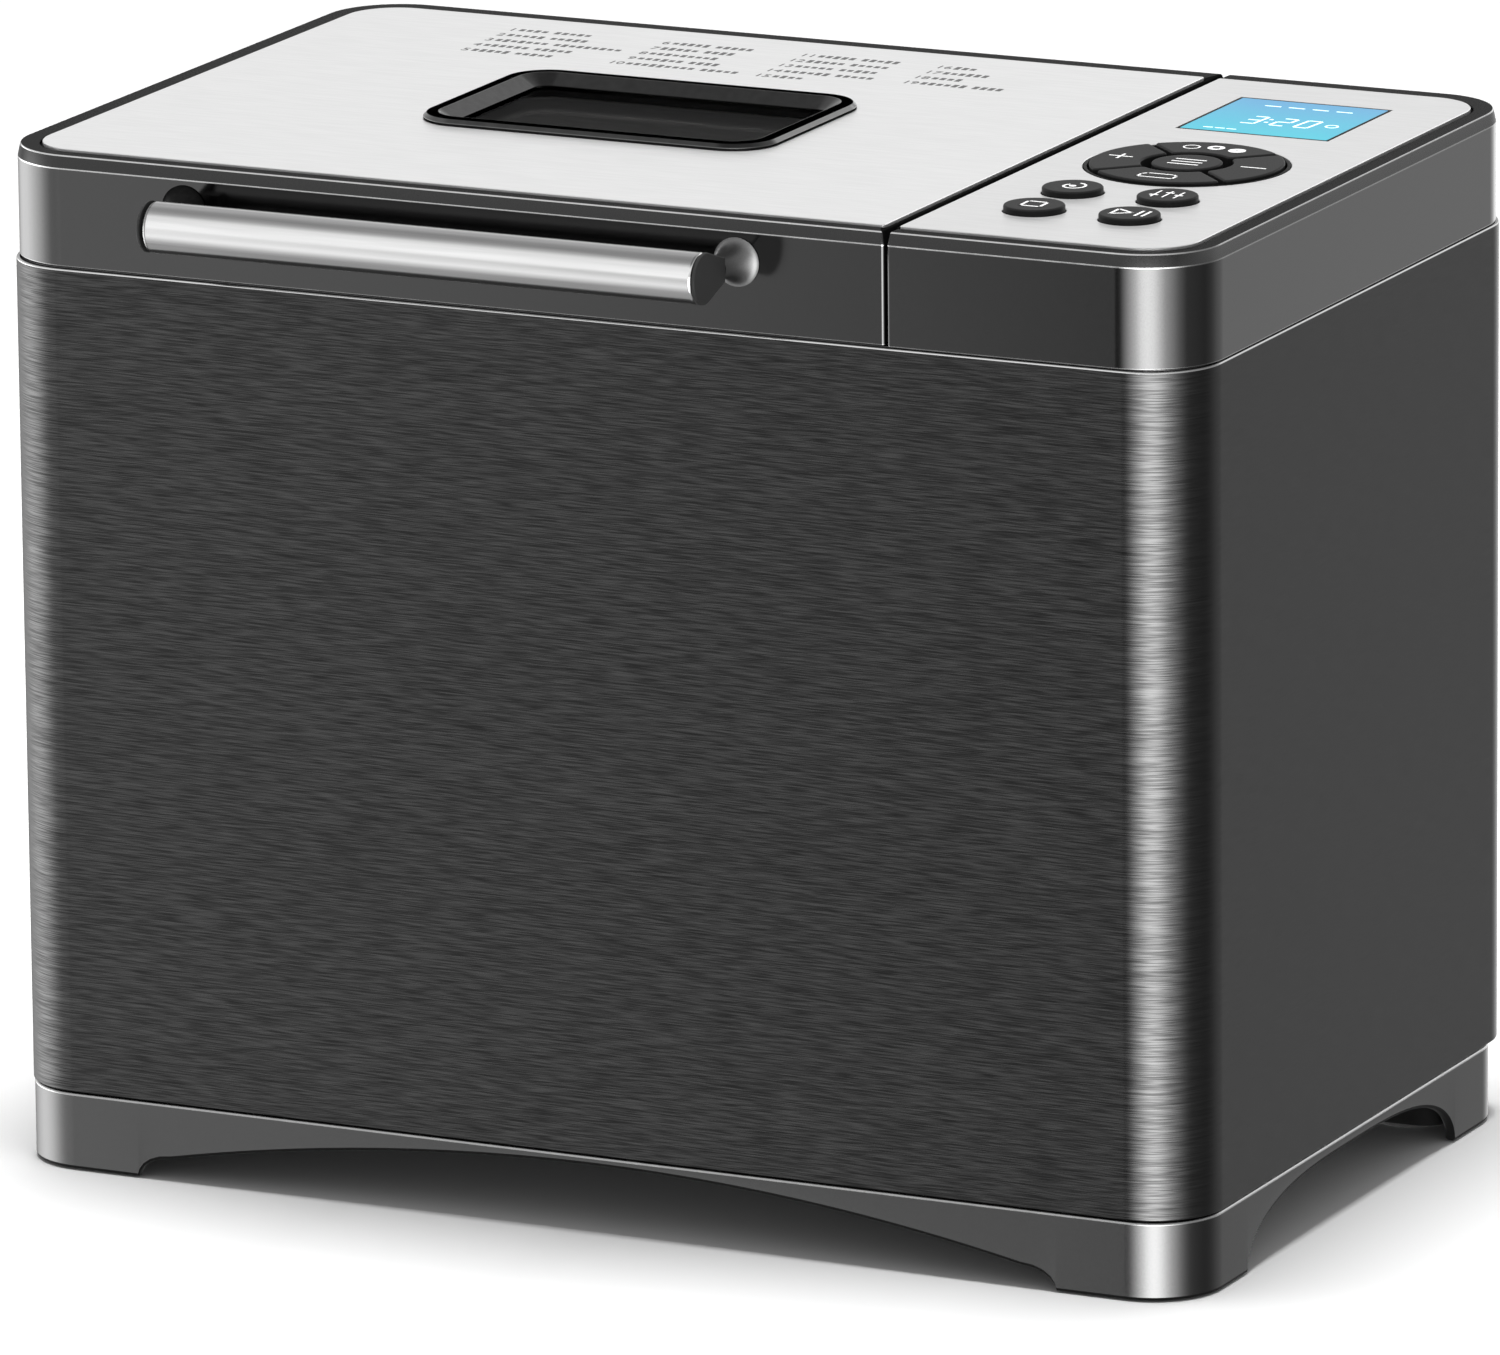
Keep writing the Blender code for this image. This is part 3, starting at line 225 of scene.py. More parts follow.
def loft(loops, ring=False, bands=None):
    """Skin a list of loops. bands gives a material number for the faces between each loop and the next."""
    shape = bmesh.new()
    rows = [[shape.verts.new(point) for point in loop] for loop in loops]
    pairs = list(zip(rows, rows[1:]))
    if ring:
        pairs.append((rows[-1], rows[0]))
    count = len(rows[0])
    for number, (low, high) in enumerate(pairs):
        for index in range(count):
            after = (index + 1) % count
            face = shape.faces.new((low[index], low[after], high[after], high[index]))
            if bands:
                face.material_index = bands[number % len(bands)]
    if not ring:
        shape.faces.new(list(reversed(rows[0])))
        shape.faces.new(rows[-1])
    bmesh.ops.recalc_face_normals(shape, faces=shape.faces)
    return shape


def bands_of(owners, spans, closed=False):
    """Material number of the faces after each profile point; spans gives it by corner, 0 elsewhere."""
    count = len(owners)
    return [spans.get(owners[index], 0) for index in range(count if closed else count - 1)]


def ring_of(bounds, radii, corners, closed=False, steps=10, rounding=4):
    """Loft of a rounded rectangle along a rounded profile of (inset, z, radius) corners."""
    points, _ = soften(corners, closed, rounding)
    loops = [level(rounded_rect(bounds, radii, point.x, steps), point.y) for point in points]
    return loft(loops, closed)


def turned(corners, centre, closed=False, sides=48):
    """Turn a rounded profile of (radius, z, corner radius) about a vertical axis."""
    points, _ = soften(corners, closed)
    loops = [level(circle(centre, point.x, sides), point.y) for point in points]
    return loft(loops, closed)


def turned_on(axis, corners, centre, closed=False, sides=48):
    """Turn a rounded profile of (radius, distance, corner radius) about a line along x or y."""
    points, _ = soften(corners, closed)
    loops = []
    for point in points:
        loop = circle((0, 0), point.x, sides)
        if axis == "x":
            loops.append([(point.y, centre[0] + across, centre[1] + up) for across, up in loop])
        else:
            loops.append([(centre[0] + across, point.y, centre[1] + up) for across, up in loop])
    return loft(loops, closed)


def rod(axis, radius, start, end, centre, sides=48):
    """Plain cylinder along x or y."""
    return turned_on(axis, ((radius, start, 0), (radius, end, 0)), centre, sides=sides)


def prism(points, z_low, z_high):
    return loft([level(points, z_low), level(points, z_high)])


def block(x_low, x_high, y_low, y_high, z_low, z_high):
    corners = ((x_low, y_low), (x_high, y_low), (x_high, y_high), (x_low, y_high))
    return prism(corners, z_low, z_high)


def tube(path, radius, sides=16):
    """Round bar along a path of points."""
    loops = []
    side = None
    for index, point in enumerate(path):
        along = (path[min(index + 1, len(path) - 1)] - path[max(index - 1, 0)]).normalized()
        if side is None:
            side = along.orthogonal().normalized()
        side = (side - along * side.dot(along)).normalized()
        up = along.cross(side)
        loop = []
        for step in range(sides):
            angle = math.tau * step / sides
            loop.append(point + (side * math.cos(angle) + up * math.sin(angle)) * radius)
        loops.append(loop)
    return loft(loops)


def mesh_of(name, shape):
    """Blender mesh of a shape, which is used up."""
    mesh = bpy.data.meshes.new(name)
    shape.to_mesh(mesh)
    shape.free()
    return mesh


def placed(name, data):
    item = bpy.data.objects.new(name, data)
    bpy.context.scene.collection.objects.link(item)
    return item


def boolean(body, tool, operation):
    holders = []
    for shape in (body, tool):
        mesh = mesh_of("work", shape)
        mesh.materials.append(None)
        mesh.materials.append(None)
        holders.append(placed("work", mesh))
    modifier = holders[0].modifiers.new("cut", "BOOLEAN")
    modifier.operation = operation
    modifier.solver = "EXACT"
    modifier.object = holders[1]
    result = bmesh.new()
    result.from_object(holders[0], bpy.context.evaluated_depsgraph_get())
    for holder in holders:
        bpy.data.meshes.remove(holder.data)
    return result


def cut(body, *tools):
    for tool in tools:
        body = boolean(body, tool, "DIFFERENCE")
    return body


def join(body, *others):
    for other in others:
        body = boolean(body, other, "UNION")
    return body


def gather(shapes):
    """Put separate shapes into one mesh."""
    whole = bmesh.new()
    for shape in shapes:
        mesh = mesh_of("part", shape)
        whole.from_mesh(mesh)
        bpy.data.meshes.remove(mesh)
    return whole


def made(name, shape, materials, body, replaces=(), sharp=50):
    """Turn a shape into a smooth shaded piece that rides on a body."""
    if not isinstance(materials, (tuple, list)):
        materials = (materials,)
    bmesh.ops.translate(shape, verts=shape.verts, vec=(0, CENTRE_Y, 0))
    mesh = mesh_of(name, shape)
    for material in materials:
        mesh.materials.append(material)
    mesh.shade_smooth()
    mesh.set_sharp_from_angle(angle=math.radians(sharp))
    item = placed(name, mesh)
    normals = item.modifiers.new("normals", "WEIGHTED_NORMAL")
    normals.keep_sharp = True
    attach(item, body)
    if replaces:
        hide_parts(*replaces)
    return item


# ---------------------------------------------------------------- materials
PAINTED_SHADE_ZONE = (BODY[1] - 0.007, BODY[1] - 0.001)     # where the painted side shade and side light take over, along x
CALM_ZONE = (BODY[1] - 0.009, BODY[1] - 0.002)
FINE_SCALE = 2.2                # fine streaks beside the long ones, and their share
FINE_SHARE = 0.2


def shader_of(name):
    material = bpy.data.materials.new(name)
    material.use_nodes = True
    tree = material.node_tree
    return material, tree, tree.nodes["Principled BSDF"]


def grain(tree, scale, detail=2.0):
    """Noise over the piece's own coordinates; scale is one number, or one per axis."""
    if not isinstance(scale, tuple):
        scale = (scale,) * 3
    coordinates = tree.nodes.new("ShaderNodeTexCoord")
    mapping = tree.nodes.new("ShaderNodeMapping")
    mapping.inputs["Scale"].default_value = scale
    noise = tree.nodes.new("ShaderNodeTexNoise")
    noise.inputs["Scale"].default_value = 1.0
    noise.inputs["Detail"].default_value = detail
    tree.links.new(coordinates.outputs["Object"], mapping.inputs["Vector"])
    tree.links.new(mapping.outputs["Vector"], noise.inputs["Vector"])
    return noise.outputs["Fac"]


def spread(tree, value, low, high, from_low=0.3, from_high=0.7):
    """Map a value from one range to another, and hold it there beyond the ends."""
    remap = tree.nodes.new("ShaderNodeMapRange")
    remap.inputs["From Min"].default_value = from_low
    remap.inputs["From Max"].default_value = from_high
    remap.inputs["To Min"].default_value = low
    remap.inputs["To Max"].default_value = high
    tree.links.new(value, remap.inputs["Value"])
    return remap.outputs["Result"]


def grey(value):
    return (value, value, value)


def blend_colour(tree, factor, first, second):
    """Mix of two colours, each a grey number, a colour or a socket."""
    mix = tree.nodes.new("ShaderNodeMix")
    mix.data_type = "RGBA"
    tree.links.new(factor, mix.inputs[0])
    for socket, colour in ((mix.inputs[6], first), (mix.inputs[7], second)):
        if isinstance(colour, float):
            colour = grey(colour)
        if isinstance(colour, tuple):
            socket.default_value = (*colour, 1.0)
        else:
            tree.links.new(colour, socket)
    return mix.outputs[2]


def math_node(tree, operation, first, second):
    node = tree.nodes.new("ShaderNodeMath")
    node.operation = operation
    for socket, value in ((node.inputs[0], first), (node.inputs[1], second)):
        if isinstance(value, (int, float)):
            socket.default_value = value
        else:
            tree.links.new(value, socket)
    return node.outputs[0]


def raise_bumps(tree, shader, height, strength, distance):
    bump = tree.nodes.new("ShaderNodeBump")
    bump.inputs["Strength"].default_value = strength
    bump.inputs["Distance"].default_value = distance
    tree.links.new(height, bump.inputs["Height"])
    tree.links.new(bump.outputs["Normal"], shader.inputs["Normal"])


def position(tree, space="Object"):
    """Sockets X, Y and Z of a point in the given coordinates."""
    coordinates = tree.nodes.new("ShaderNodeTexCoord")
    parts = tree.nodes.new("ShaderNodeSeparateXYZ")
    tree.links.new(coordinates.outputs[space], parts.inputs[0])
    return parts.outputs


def surface(name, dark, light, metallic=0.0, rough=(0.4, 0.5), scale=200, detail=3.0, bump=0.0,
            bump_depth=0.0001, contrast=(0.3, 0.7), specular=0.5, tint=1.0, painted_side_shading=1.0):
    """One grain drives the tone between dark and light, the roughness and a fine relief.

    On the side walls the tone is the light tone times the side factor, unless that is 1: painted shade where
    the factor is below 1, painted light where it is above.
    """
    material, tree, shader = shader_of(name)
    value = grain(tree, scale, detail)
    mixed = blend_colour(tree, spread(tree, value, 0.0, 1.0, *contrast), dark, light)
    # painted shading of the side walls: darker than the front below 1, lighter above 1
    if painted_side_shading != 1.0:
        mixed = blend_colour(tree, towards_sides(tree, *PAINTED_SHADE_ZONE), mixed, light * painted_side_shading)
    tree.links.new(mixed, shader.inputs["Base Color"])
    tree.links.new(spread(tree, value, *rough), shader.inputs["Roughness"])
    shader.inputs["Metallic"].default_value = metallic
    shader.inputs["Specular IOR Level"].default_value = specular
    shader.inputs["Specular Tint"].default_value = (*grey(tint), 1.0)
    if bump:
        raise_bumps(tree, shader, value, bump, bump_depth)
    return material


def towards_sides(tree, start, end):
    """0 up to a distance from the middle of the machine, 1 beyond it, along x."""
    distance = math_node(tree, "ABSOLUTE", position(tree)["X"], 0.0)
    return spread(tree, distance, 0.0, 1.0, start, end)


def brushed(name, dark, light, rough, scale, strength, depth, contrast=(0.36, 0.64), tint=1.0,
            metallic=1.0, calm_sides=0.0):
    """Brushed sheet: long thin streaks in two sizes, in tone, gloss and relief.

    calm_sides is the share of the streaks' contrast that is lost on the side walls.
    """
    material, tree, shader = shader_of(name)
    streaks = math_node(tree, "MULTIPLY", grain(tree, scale, 1.0), 1 - FINE_SHARE)
    fine = grain(tree, tuple(part * FINE_SCALE for part in scale), 1.0)
    both = math_node(tree, "ADD", streaks, math_node(tree, "MULTIPLY", fine, FINE_SHARE))
    if calm_sides:
        swing = math_node(tree, "SUBTRACT", both, 0.5)
        share = math_node(tree, "MULTIPLY", towards_sides(tree, *CALM_ZONE), -calm_sides)
        swing = math_node(tree, "MULTIPLY", swing, math_node(tree, "ADD", share, 1.0))
        both = math_node(tree, "ADD", swing, 0.5)
    tone = spread(tree, both, 0.0, 1.0, *contrast)
    tree.links.new(blend_colour(tree, tone, dark, light), shader.inputs["Base Color"])
    tree.links.new(spread(tree, both, *rough), shader.inputs["Roughness"])
    shader.inputs["Metallic"].default_value = metallic
    shader.inputs["Specular Tint"].default_value = (*grey(tint), 1.0)
    raise_bumps(tree, shader, both, strength, depth)
    return material


BODY_STEEL = brushed("body_brushed_steel", 0.030, 0.082, (0.22, 0.28), (105, 105, 3900), 0.20, 0.00005,
                     (0.37, 0.65), 0.62, calm_sides=0.75)
# bright steel of the pins and bail, also the painted highlight line along the body's top edge, dimmed on the
# sides as painted shade
STEEL_AND_HEM_HIGHLIGHT = surface("polished_steel_and_painted_hem_highlight", 0.64, 0.70, 1.0, (0.16, 0.22), 300, painted_side_shading=0.5)
# light lines along the cover's chamfer edges: painted highlights, dimmed on the sides as painted shade
EDGE_HIGHLIGHT = surface("painted_edge_highlight", 0.50, 0.58, 1.0, (0.20, 0.28), 300, painted_side_shading=0.4)
# lighter strip on the cover's lower edge: painted highlight of the seam line
LIP_HIGHLIGHT = surface("painted_lip_highlight", 0.20, 0.24, 1.0, (0.24, 0.30), 300)
# light band round the base's top edge: painted highlight
BASE_EDGE_HIGHLIGHT = surface("painted_base_edge_highlight", 0.34, 0.40, 1.0, (0.22, 0.30), 300)
# near black under and inside the base and along its lower edge: painted shade
BASE_UNDER_SHADE = surface("painted_base_under_shade", 0.006, 0.010, 0.0, (0.6, 0.7), 900, specular=0.05)
PAINT = surface("gunmetal_paint", 0.073, 0.080, 1.0, (0.11, 0.14), 2600, bump=0.02, bump_depth=0.00002)
# darker copy of the gunmetal paint on the cover's top rim: painted shade
RIM_SHADE_PAINT = surface("painted_rim_shade", 0.042, 0.048, 1.0, (0.26, 0.30), 2600, tint=0.42)
# chamfer band: painted shade at the front, painted light on the side walls
CHAMFER_SHADE_AND_SIDE_LIGHT = surface("painted_chamfer_shade_and_side_light", 0.046, 0.052, 1.0, (0.26, 0.30), 2600, tint=0.42, painted_side_shading=2.8)
# satin grey of the right post, lighter than the cover paint as a painted soft highlight
POST_SATIN_AND_HIGHLIGHT = surface("post_satin_and_painted_highlight", 0.14, 0.17, 1.0, (0.40, 0.45), 2600)
# darker silver on the bar's left rounding: painted shade
BAR_END_SHADE = surface("painted_bar_end_shade", 0.26, 0.30, 1.0, (0.24, 0.30), 900)
# near black in the plate grooves and the seam between lid and control box: painted shade
GROOVE_SHADE = surface("painted_groove_shade", 0.004, 0.006, 0.0, (0.8, 0.9), 900, specular=0.0)
# gunmetal of the base, its side walls darker as painted shade
BASE_PAINT = surface("base_gunmetal", 0.100, 0.110, 1.0, (0.22, 0.26), 2600, bump=0.03,
                     bump_depth=0.00002, tint=0.75, painted_side_shading=0.60)
REAR_PAINT = surface("rear_panel_paint", 0.050, 0.066, 0.6, (0.42, 0.50), 1600, bump=0.08,
                     bump_depth=0.00003)
# gunmetal paint of a cover and its painted highlight and shade copies
COVER_FINISH = (PAINT, EDGE_HIGHLIGHT, RIM_SHADE_PAINT, GROOVE_SHADE, LIP_HIGHLIGHT, CHAMFER_SHADE_AND_SIDE_LIGHT)
PLATE_SILVER = brushed("lid_plate_silver", 0.70, 0.76, (0.30, 0.38), (60, 900, 900), 0.05, 0.00005,
                       metallic=0.6)
PANEL_SILVER = brushed("panel_plate_silver", 0.65, 0.71, (0.30, 0.38), (60, 900, 900), 0.05, 0.00005,
                       metallic=0.6)
BAR_SILVER = brushed("bar_silver", 0.76, 0.82, (0.16, 0.21), (25, 900, 900), 0.04, 0.00004)
ARM_BLACK = surface("arm_graphite", 0.028, 0.034, 0.0, (0.50, 0.58), 1500, bump=0.05, bump_depth=0.00003,
                    specular=0.15)
BEZEL_BLACK = surface("bezel_gloss_black", 0.008, 0.012, 1.0, (0.10, 0.15), 400, tint=0.08)
# lighter bands on the bezel's crest edges: painted highlights
BEZEL_EDGE_HIGHLIGHT = surface("painted_bezel_edge_highlight", 0.11, 0.13, 1.0, (0.16, 0.22), 400)
# black of the keypad well and lens border, also the painted shade on the left post
DISH_BLACK_AND_POST_SHADE = surface("dish_black_and_painted_post_shade", 0.004, 0.007, 0.0, (0.30, 0.38), 900, specular=0.03)
KEY_BLACK = surface("key_satin_black", 0.015, 0.020, 0.0, (0.34, 0.42), 1800, bump=0.06,
                    bump_depth=0.00002, specular=0.03)
KEY_MARK = surface("key_mark_white", 0.72, 0.80, 0.0, (0.5, 0.6), 900)
PLATE_MARK = surface("plate_mark_grey", 0.065, 0.095, 0.0, (0.5, 0.6), 900)
RUBBER = surface("rubber_black", 0.012, 0.020, 0.0, (0.75, 0.85), 900, bump=0.2, bump_depth=0.00005)
ZINC = surface("zinc_sheet", 0.48, 0.54, 1.0, (0.34, 0.42), 90, detail=1.0)
CHAMBER_STEEL = brushed("chamber_steel", 0.50, 0.60, (0.36, 0.46), (60, 60, 800), 0.05, 0.00004,
                        metallic=0.55)
SATIN_STEEL = brushed("satin_steel", 0.52, 0.62, (0.28, 0.36), (80, 900, 900), 0.05, 0.00004)
CAST = surface("cast_alloy", 0.38, 0.50, 1.0, (0.45, 0.58), 700, bump=0.3, bump_depth=0.0001)
COATING = surface("pan_coating", 0.050, 0.095, 0.15, (0.36, 0.48), 1400, detail=1.0, bump=0.10,
                  bump_depth=0.00004, contrast=(0.50, 0.72))
SILICONE = surface("seal_silicone", 0.26, 0.31, 0.0, (0.55, 0.65), 400)
CERAMIC = surface("ceramic_white", (0.80, 0.79, 0.75), (0.86, 0.85, 0.81), 0.0, (0.35, 0.45), 500)
BOARD = surface("board_green", (0.02, 0.12, 0.05), (0.03, 0.18, 0.08), 0.0, (0.35, 0.45), 260)
MOTOR = surface("motor_steel", 0.22, 0.32, 0.9, (0.38, 0.50), (300, 300, 900))
ELEMENT = surface("element_sheath", (0.20, 0.18, 0.165), (0.30, 0.27, 0.25), 0.9, (0.40, 0.52), 250)
NYLON = surface("nylon_white", (0.66, 0.66, 0.62), (0.74, 0.74, 0.70), 0.0, (0.42, 0.52), 400)


def tinted_glass(name, dark, light):
    material, tree, shader = shader_of(name)
    value = grain(tree, (60, 60, 60), 2.0)
    tree.links.new(spread(tree, value, 0.01, 0.03), shader.inputs["Roughness"])
    tree.links.new(blend_colour(tree, value, dark, light), shader.inputs["Base Color"])
    shader.inputs["Transmission Weight"].default_value = 1.0
    shader.inputs["IOR"].default_value = 1.02
    shader.inputs["Specular Tint"].default_value = (0.22, 0.22, 0.22, 1.0)
    return material


SMOKED_GLASS = tinted_glass("smoked_glass", (0.80, 0.79, 0.78), (0.86, 0.85, 0.84))


def display_blue():
    """Backlit display: cyan at the front edge, deeper sky blue towards the back."""
    material, tree, shader = shader_of("display_blue")
    depth = spread(tree, position(tree)["Y"], 0.0, 1.0, LCD[2] + CENTRE_Y, LCD[3] + CENTRE_Y)
    cloud = grain(tree, (40, 40, 40), 2.0)
    depth = math_node(tree, "ADD", depth, spread(tree, cloud, -0.08, 0.08))
    colour = blend_colour(tree, depth, (0.02, 0.28, 0.35), (0.05, 0.19, 0.33))
    tree.links.new(colour, shader.inputs["Base Color"])
    tree.links.new(colour, shader.inputs["Emission Color"])
    shader.inputs["Emission Strength"].default_value = 0.35
    shader.inputs["Specular IOR Level"].default_value = 0.1
    tree.links.new(spread(tree, cloud, 0.16, 0.22), shader.inputs["Roughness"])
    return material


def display_mark():
    material, tree, shader = shader_of("display_mark")
    value = grain(tree, (300, 300, 300), 2.0)
    colour = blend_colour(tree, value, (0.62, 0.84, 0.93), (0.72, 0.90, 0.96))
    tree.links.new(colour, shader.inputs["Base Color"])
    tree.links.new(colour, shader.inputs["Emission Color"])
    shader.inputs["Emission Strength"].default_value = 0.35
    return material


DISPLAY_BLUE = display_blue()
DISPLAY_MARK = display_mark()

SLOT_FINISH = {"gunmetal_paint": PAINT, "rubber": RUBBER, "brushed_dark_steel": BODY_STEEL,
               "galvanised": ZINC, "gloss_black": BEZEL_BLACK, "brushed_silver": PLATE_SILVER,
               "lcd_blue": DISPLAY_BLUE, "key_black": KEY_BLACK, "circuit_board": BOARD,
               "window_glass": SMOKED_GLASS, "satin_steel": SATIN_STEEL, "silicone": SILICONE,
               "motor_steel": MOTOR, "ceramic": CERAMIC, "cast_alloy": CAST,
               "nonstick_coating": COATING, "nylon": NYLON}


def finish_cad_nodes():
    """Give every CAD node the finish of its slot."""
    special = {"heating_element": ELEMENT, "base_tray": BASE_PAINT, "rear_panel": REAR_PAINT}
    for entry in frame["record"]["subparts"]:
        node = frame["nodes"][entry["node"]]
        material = special.get(entry["node"], SLOT_FINISH[entry["material_slot"]])
        if not node.data.materials:
            node.data.materials.append(material)
        for holder in node.material_slots:
            holder.material = material


# ---------------------------------------------------------------- body and base
def wrap_path():
    """Points and outward normals of the wrap, from its rear left edge round the front."""
    half_x, half_y = BODY[1], -BODY[2]
    path = [((-WRAP_END, half_y), (0.0, 1.0))]
    for to_x, to_y, first in ((-1, 1, 90), (-1, -1, 180), (1, -1, 270), (1, 1, 0)):
        centre = (to_x * (half_x - BODY_RADIUS), to_y * (half_y - BODY_RADIUS))
        for normal in arc((0, 0), 1, first, first + 90, 16):
            path.append(((centre[0] + BODY_RADIUS * normal[0], centre[1] + BODY_RADIUS * normal[1]), normal))
    path.append(((WRAP_END, half_y), (0.0, 1.0)))
    return path


def body_wrap():
    """Brushed sheet bent round the front and sides, with a painted highlight along its top edge."""
    low, high = BODY[4], BODY[5]
    hem = 0.0005
    corners = ((0.0, low, 0.0003), (0.0, high - hem, 0), (0.0, high, 0.0005), (-SHEET, high, 0.0002),
               (-SHEET, low, 0.0002))
    points, _ = soften(corners, True)
    loops = []
    for (x, y), (normal_x, normal_y) in wrap_path():
        loops.append([(x + normal_x * point.x, y + normal_y * point.x, point.y) for point in points])
    shape = loft(loops)
    # the top edge band is a painted highlight line
    for face in shape.faces:
        if face.calc_center_median().z > high - hem:
            face.material_index = 1
    made("body_wrap", shape, (BODY_STEEL, STEEL_AND_HEM_HIGHLIGHT), "root", ("body_shell",))


def front_arch_height(x):
    shoulder_x, shoulder_z = FRONT_ARCH_SHOULDER
    x = abs(x)
    if x >= FRONT_ARCH_HALF:
        return 0.0
    if x > shoulder_x:
        share = 1 - (FRONT_ARCH_HALF - x) / (FRONT_ARCH_HALF - shoulder_x)
        return shoulder_z * math.sqrt(max(0.0, 1 - share * share))
    return shoulder_z + (FRONT_ARCH_CROWN - shoulder_z) * (1 - (x / shoulder_x) ** 2)


def side_arch_height(y):
    share = abs(y - SIDE_ARCH_CENTRE) / SIDE_ARCH_HALF
    return SIDE_ARCH_CROWN * math.sqrt(max(0.0, 1 - share ** 3.2)) if share < 1 else 0.0


def arch_steps(half, count=40):
    """Places along an arch, close together at its steep ends."""
    return [half * math.sin(math.pi / 2 * (2 * step / count - 1)) for step in range(count + 1)]


def base_columns():
    """Place, outward normal and arch height round the base, starting behind the front left corner."""
    half_x, front, rear = BASE[1:4]
    radius = BODY_RADIUS - GAP
    columns = []
    for to_x, to_y, first in ((-1, -1, 180), (1, -1, 270), (1, 1, 0), (-1, 1, 90)):
        centre = (to_x * (half_x - radius), front + radius if to_y < 0 else rear - radius)
        for normal in arc((0, 0), 1, first, first + 90, 14):
            columns.append((centre[0] + radius * normal[0], centre[1] + radius * normal[1], normal, 0.0))
        along = arch_steps(FRONT_ARCH_HALF if to_x == to_y else SIDE_ARCH_HALF)
        if to_y > 0:
            along.reverse()
        for step in along:
            if to_x == to_y:
                columns.append((step, front if to_y < 0 else rear, (0.0, to_y), front_arch_height(step)))
            else:
                y = SIDE_ARCH_CENTRE + step
                columns.append((to_x * half_x, y, (to_x, 0.0), side_arch_height(y)))
    return columns


def base():
    """Skirt with arched lower edges under a flat roof."""
    bottom, top = BASE[4:]
    ease = 0.0006
    columns = base_columns()
    profiles = []
    for _, _, _, arch in columns:
        foot = max(bottom, arch)
        profiles.append(((-SKIRT_WALL, BASE_ROOF), (-SKIRT_WALL, min(foot + ease, BASE_ROOF - 0.0001)),
                         (-SKIRT_WALL + ease, foot), (-0.0007, foot), (-0.0002, foot + 0.0002),
                         (0.0, foot + 0.0009), (0.0, top - 0.0010), (-0.0001, top - 0.0006),
                         (-0.0004, top - 0.0003), (-0.0008, top - 0.0001), (-0.0012, top),
                         (-SKIRT_WALL, top), (-0.010, top)))
    loops = []
    for part in zip(*profiles):
        loop = []
        for (x, y, (normal_x, normal_y), _), (out, z) in zip(columns, part):
            loop.append((x + normal_x * out, y + normal_y * out, z))
        loops.append(loop)
    # bands: painted shade inside and along the lower edge (2), the gunmetal wall (0), a painted highlight
    # round the top edge (1)
    shape = loft(loops, bands=[2, 2, 2, 2, 2, 0, 1, 1, 1, 1, 0, 0])
    # faces that look down take the painted shade
    for face in shape.faces:
        if face.normal.z < -0.9:
            face.material_index = 2
    made("base_skirt", shape, (BASE_PAINT, BASE_EDGE_HIGHLIGHT, BASE_UNDER_SHADE), "root", ("base_tray",),
         sharp=60)
    bosses = []
    for corner_name in FEET:
        foot = middle("foot_" + corner_name)
        low = 2 * foot.z + GAP
        bosses.append(ring_of(about(foot, (0.0175, 0.0165)), 0.010,
                              ((0.0, BASE_ROOF, 0), (0.0, low, 0.001), (0.012, low, 0)), steps=6))
    # the bosses under the base take the painted shade
    made("foot_bosses", gather(bosses), BASE_UNDER_SHADE, "root")


# ---------------------------------------------------------------- covers
EDGE, RIM, GROOVE, LIP, CHAMFER = 1, 2, 3, 4, 5     # material numbers on a cover: painted highlights on the edges and lip, painted shade on the rim, groove and seam, painted shade and side light on the chamfer


def cover(bounds, radii, plate, plate_radii, bottom, hole=None):
    """Wall, chamfer, rim and plate recess of a cover; hole is the outline of a window through its top."""
    line = 0.00018
    wall = ((COVER_WALL, CEILING, 0), (COVER_WALL, bottom, 0.0003), (0.0, bottom, 0.0003),
            (0.0, bottom + 0.0004, 0), (0.0, COVER_CHAMFER - line, 0), (0.00004, COVER_CHAMFER + line, 0),
            (CHAMFER_INSET - 0.00006, COVER_TOP - 2 * line, 0), (CHAMFER_INSET + line, COVER_TOP, 0),
            (0.0042, COVER_TOP, 0))
    points, owners = soften(wall)
    loops = [level(rounded_rect(bounds, radii, point.x, COVER_STEPS), point.y) for point in points[:-1]]
    # painted highlight on the lip and chamfer edges, painted shade on the chamfer and rim
    bands = bands_of(owners, {2: LIP, 4: EDGE, 5: CHAMFER, 6: EDGE, 7: RIM})
    recess = (plate[0] - RECESS_MARGIN, plate[1] + RECESS_MARGIN, plate[2] - RECESS_MARGIN,
              plate[3] + RECESS_MARGIN)
    edge = SHEET_EASE
    # the recess walls take the painted groove shade
    for inset, z in ((-edge, COVER_TOP), (0.0, COVER_TOP - edge), (0.0, RECESS_FLOOR)):
        loops.append(level(rounded_rect(recess, plate_radii, inset, COVER_STEPS), z))
        bands.append(GROOVE)
    bands[-3] = RIM
    if hole is None:
        shape = loft(loops, bands=bands[:len(loops) - 1])
        # the recess floor takes the painted groove shade
        for face in shape.faces:
            if abs(face.calc_center_median().z - RECESS_FLOOR) < edge:
                face.material_index = GROOVE
    else:
        loops.append(level(hole, RECESS_FLOOR))
        loops.append(level(hole, CEILING))
        shape = loft(loops, True, bands[:len(loops) - 3] + [GROOVE, 0, 0])
    blacken_seam(shape)
    return shape


def blacken_seam(shape):
    """Paint shade on the faces between the lid and the control box, apart from the outer front and rear."""
    for face in shape.faces:
        middle_x = face.calc_center_median().x
        between = LID_PLATE[1] < middle_x < PANEL[0]
        if between and abs(face.normal.y) < 0.6 and face.material_index != LIP:
            face.material_index = GROOVE


def opening(outline):
    """Cutter through the top of a cover."""
    return prism(outline, *CUT_SPAN)


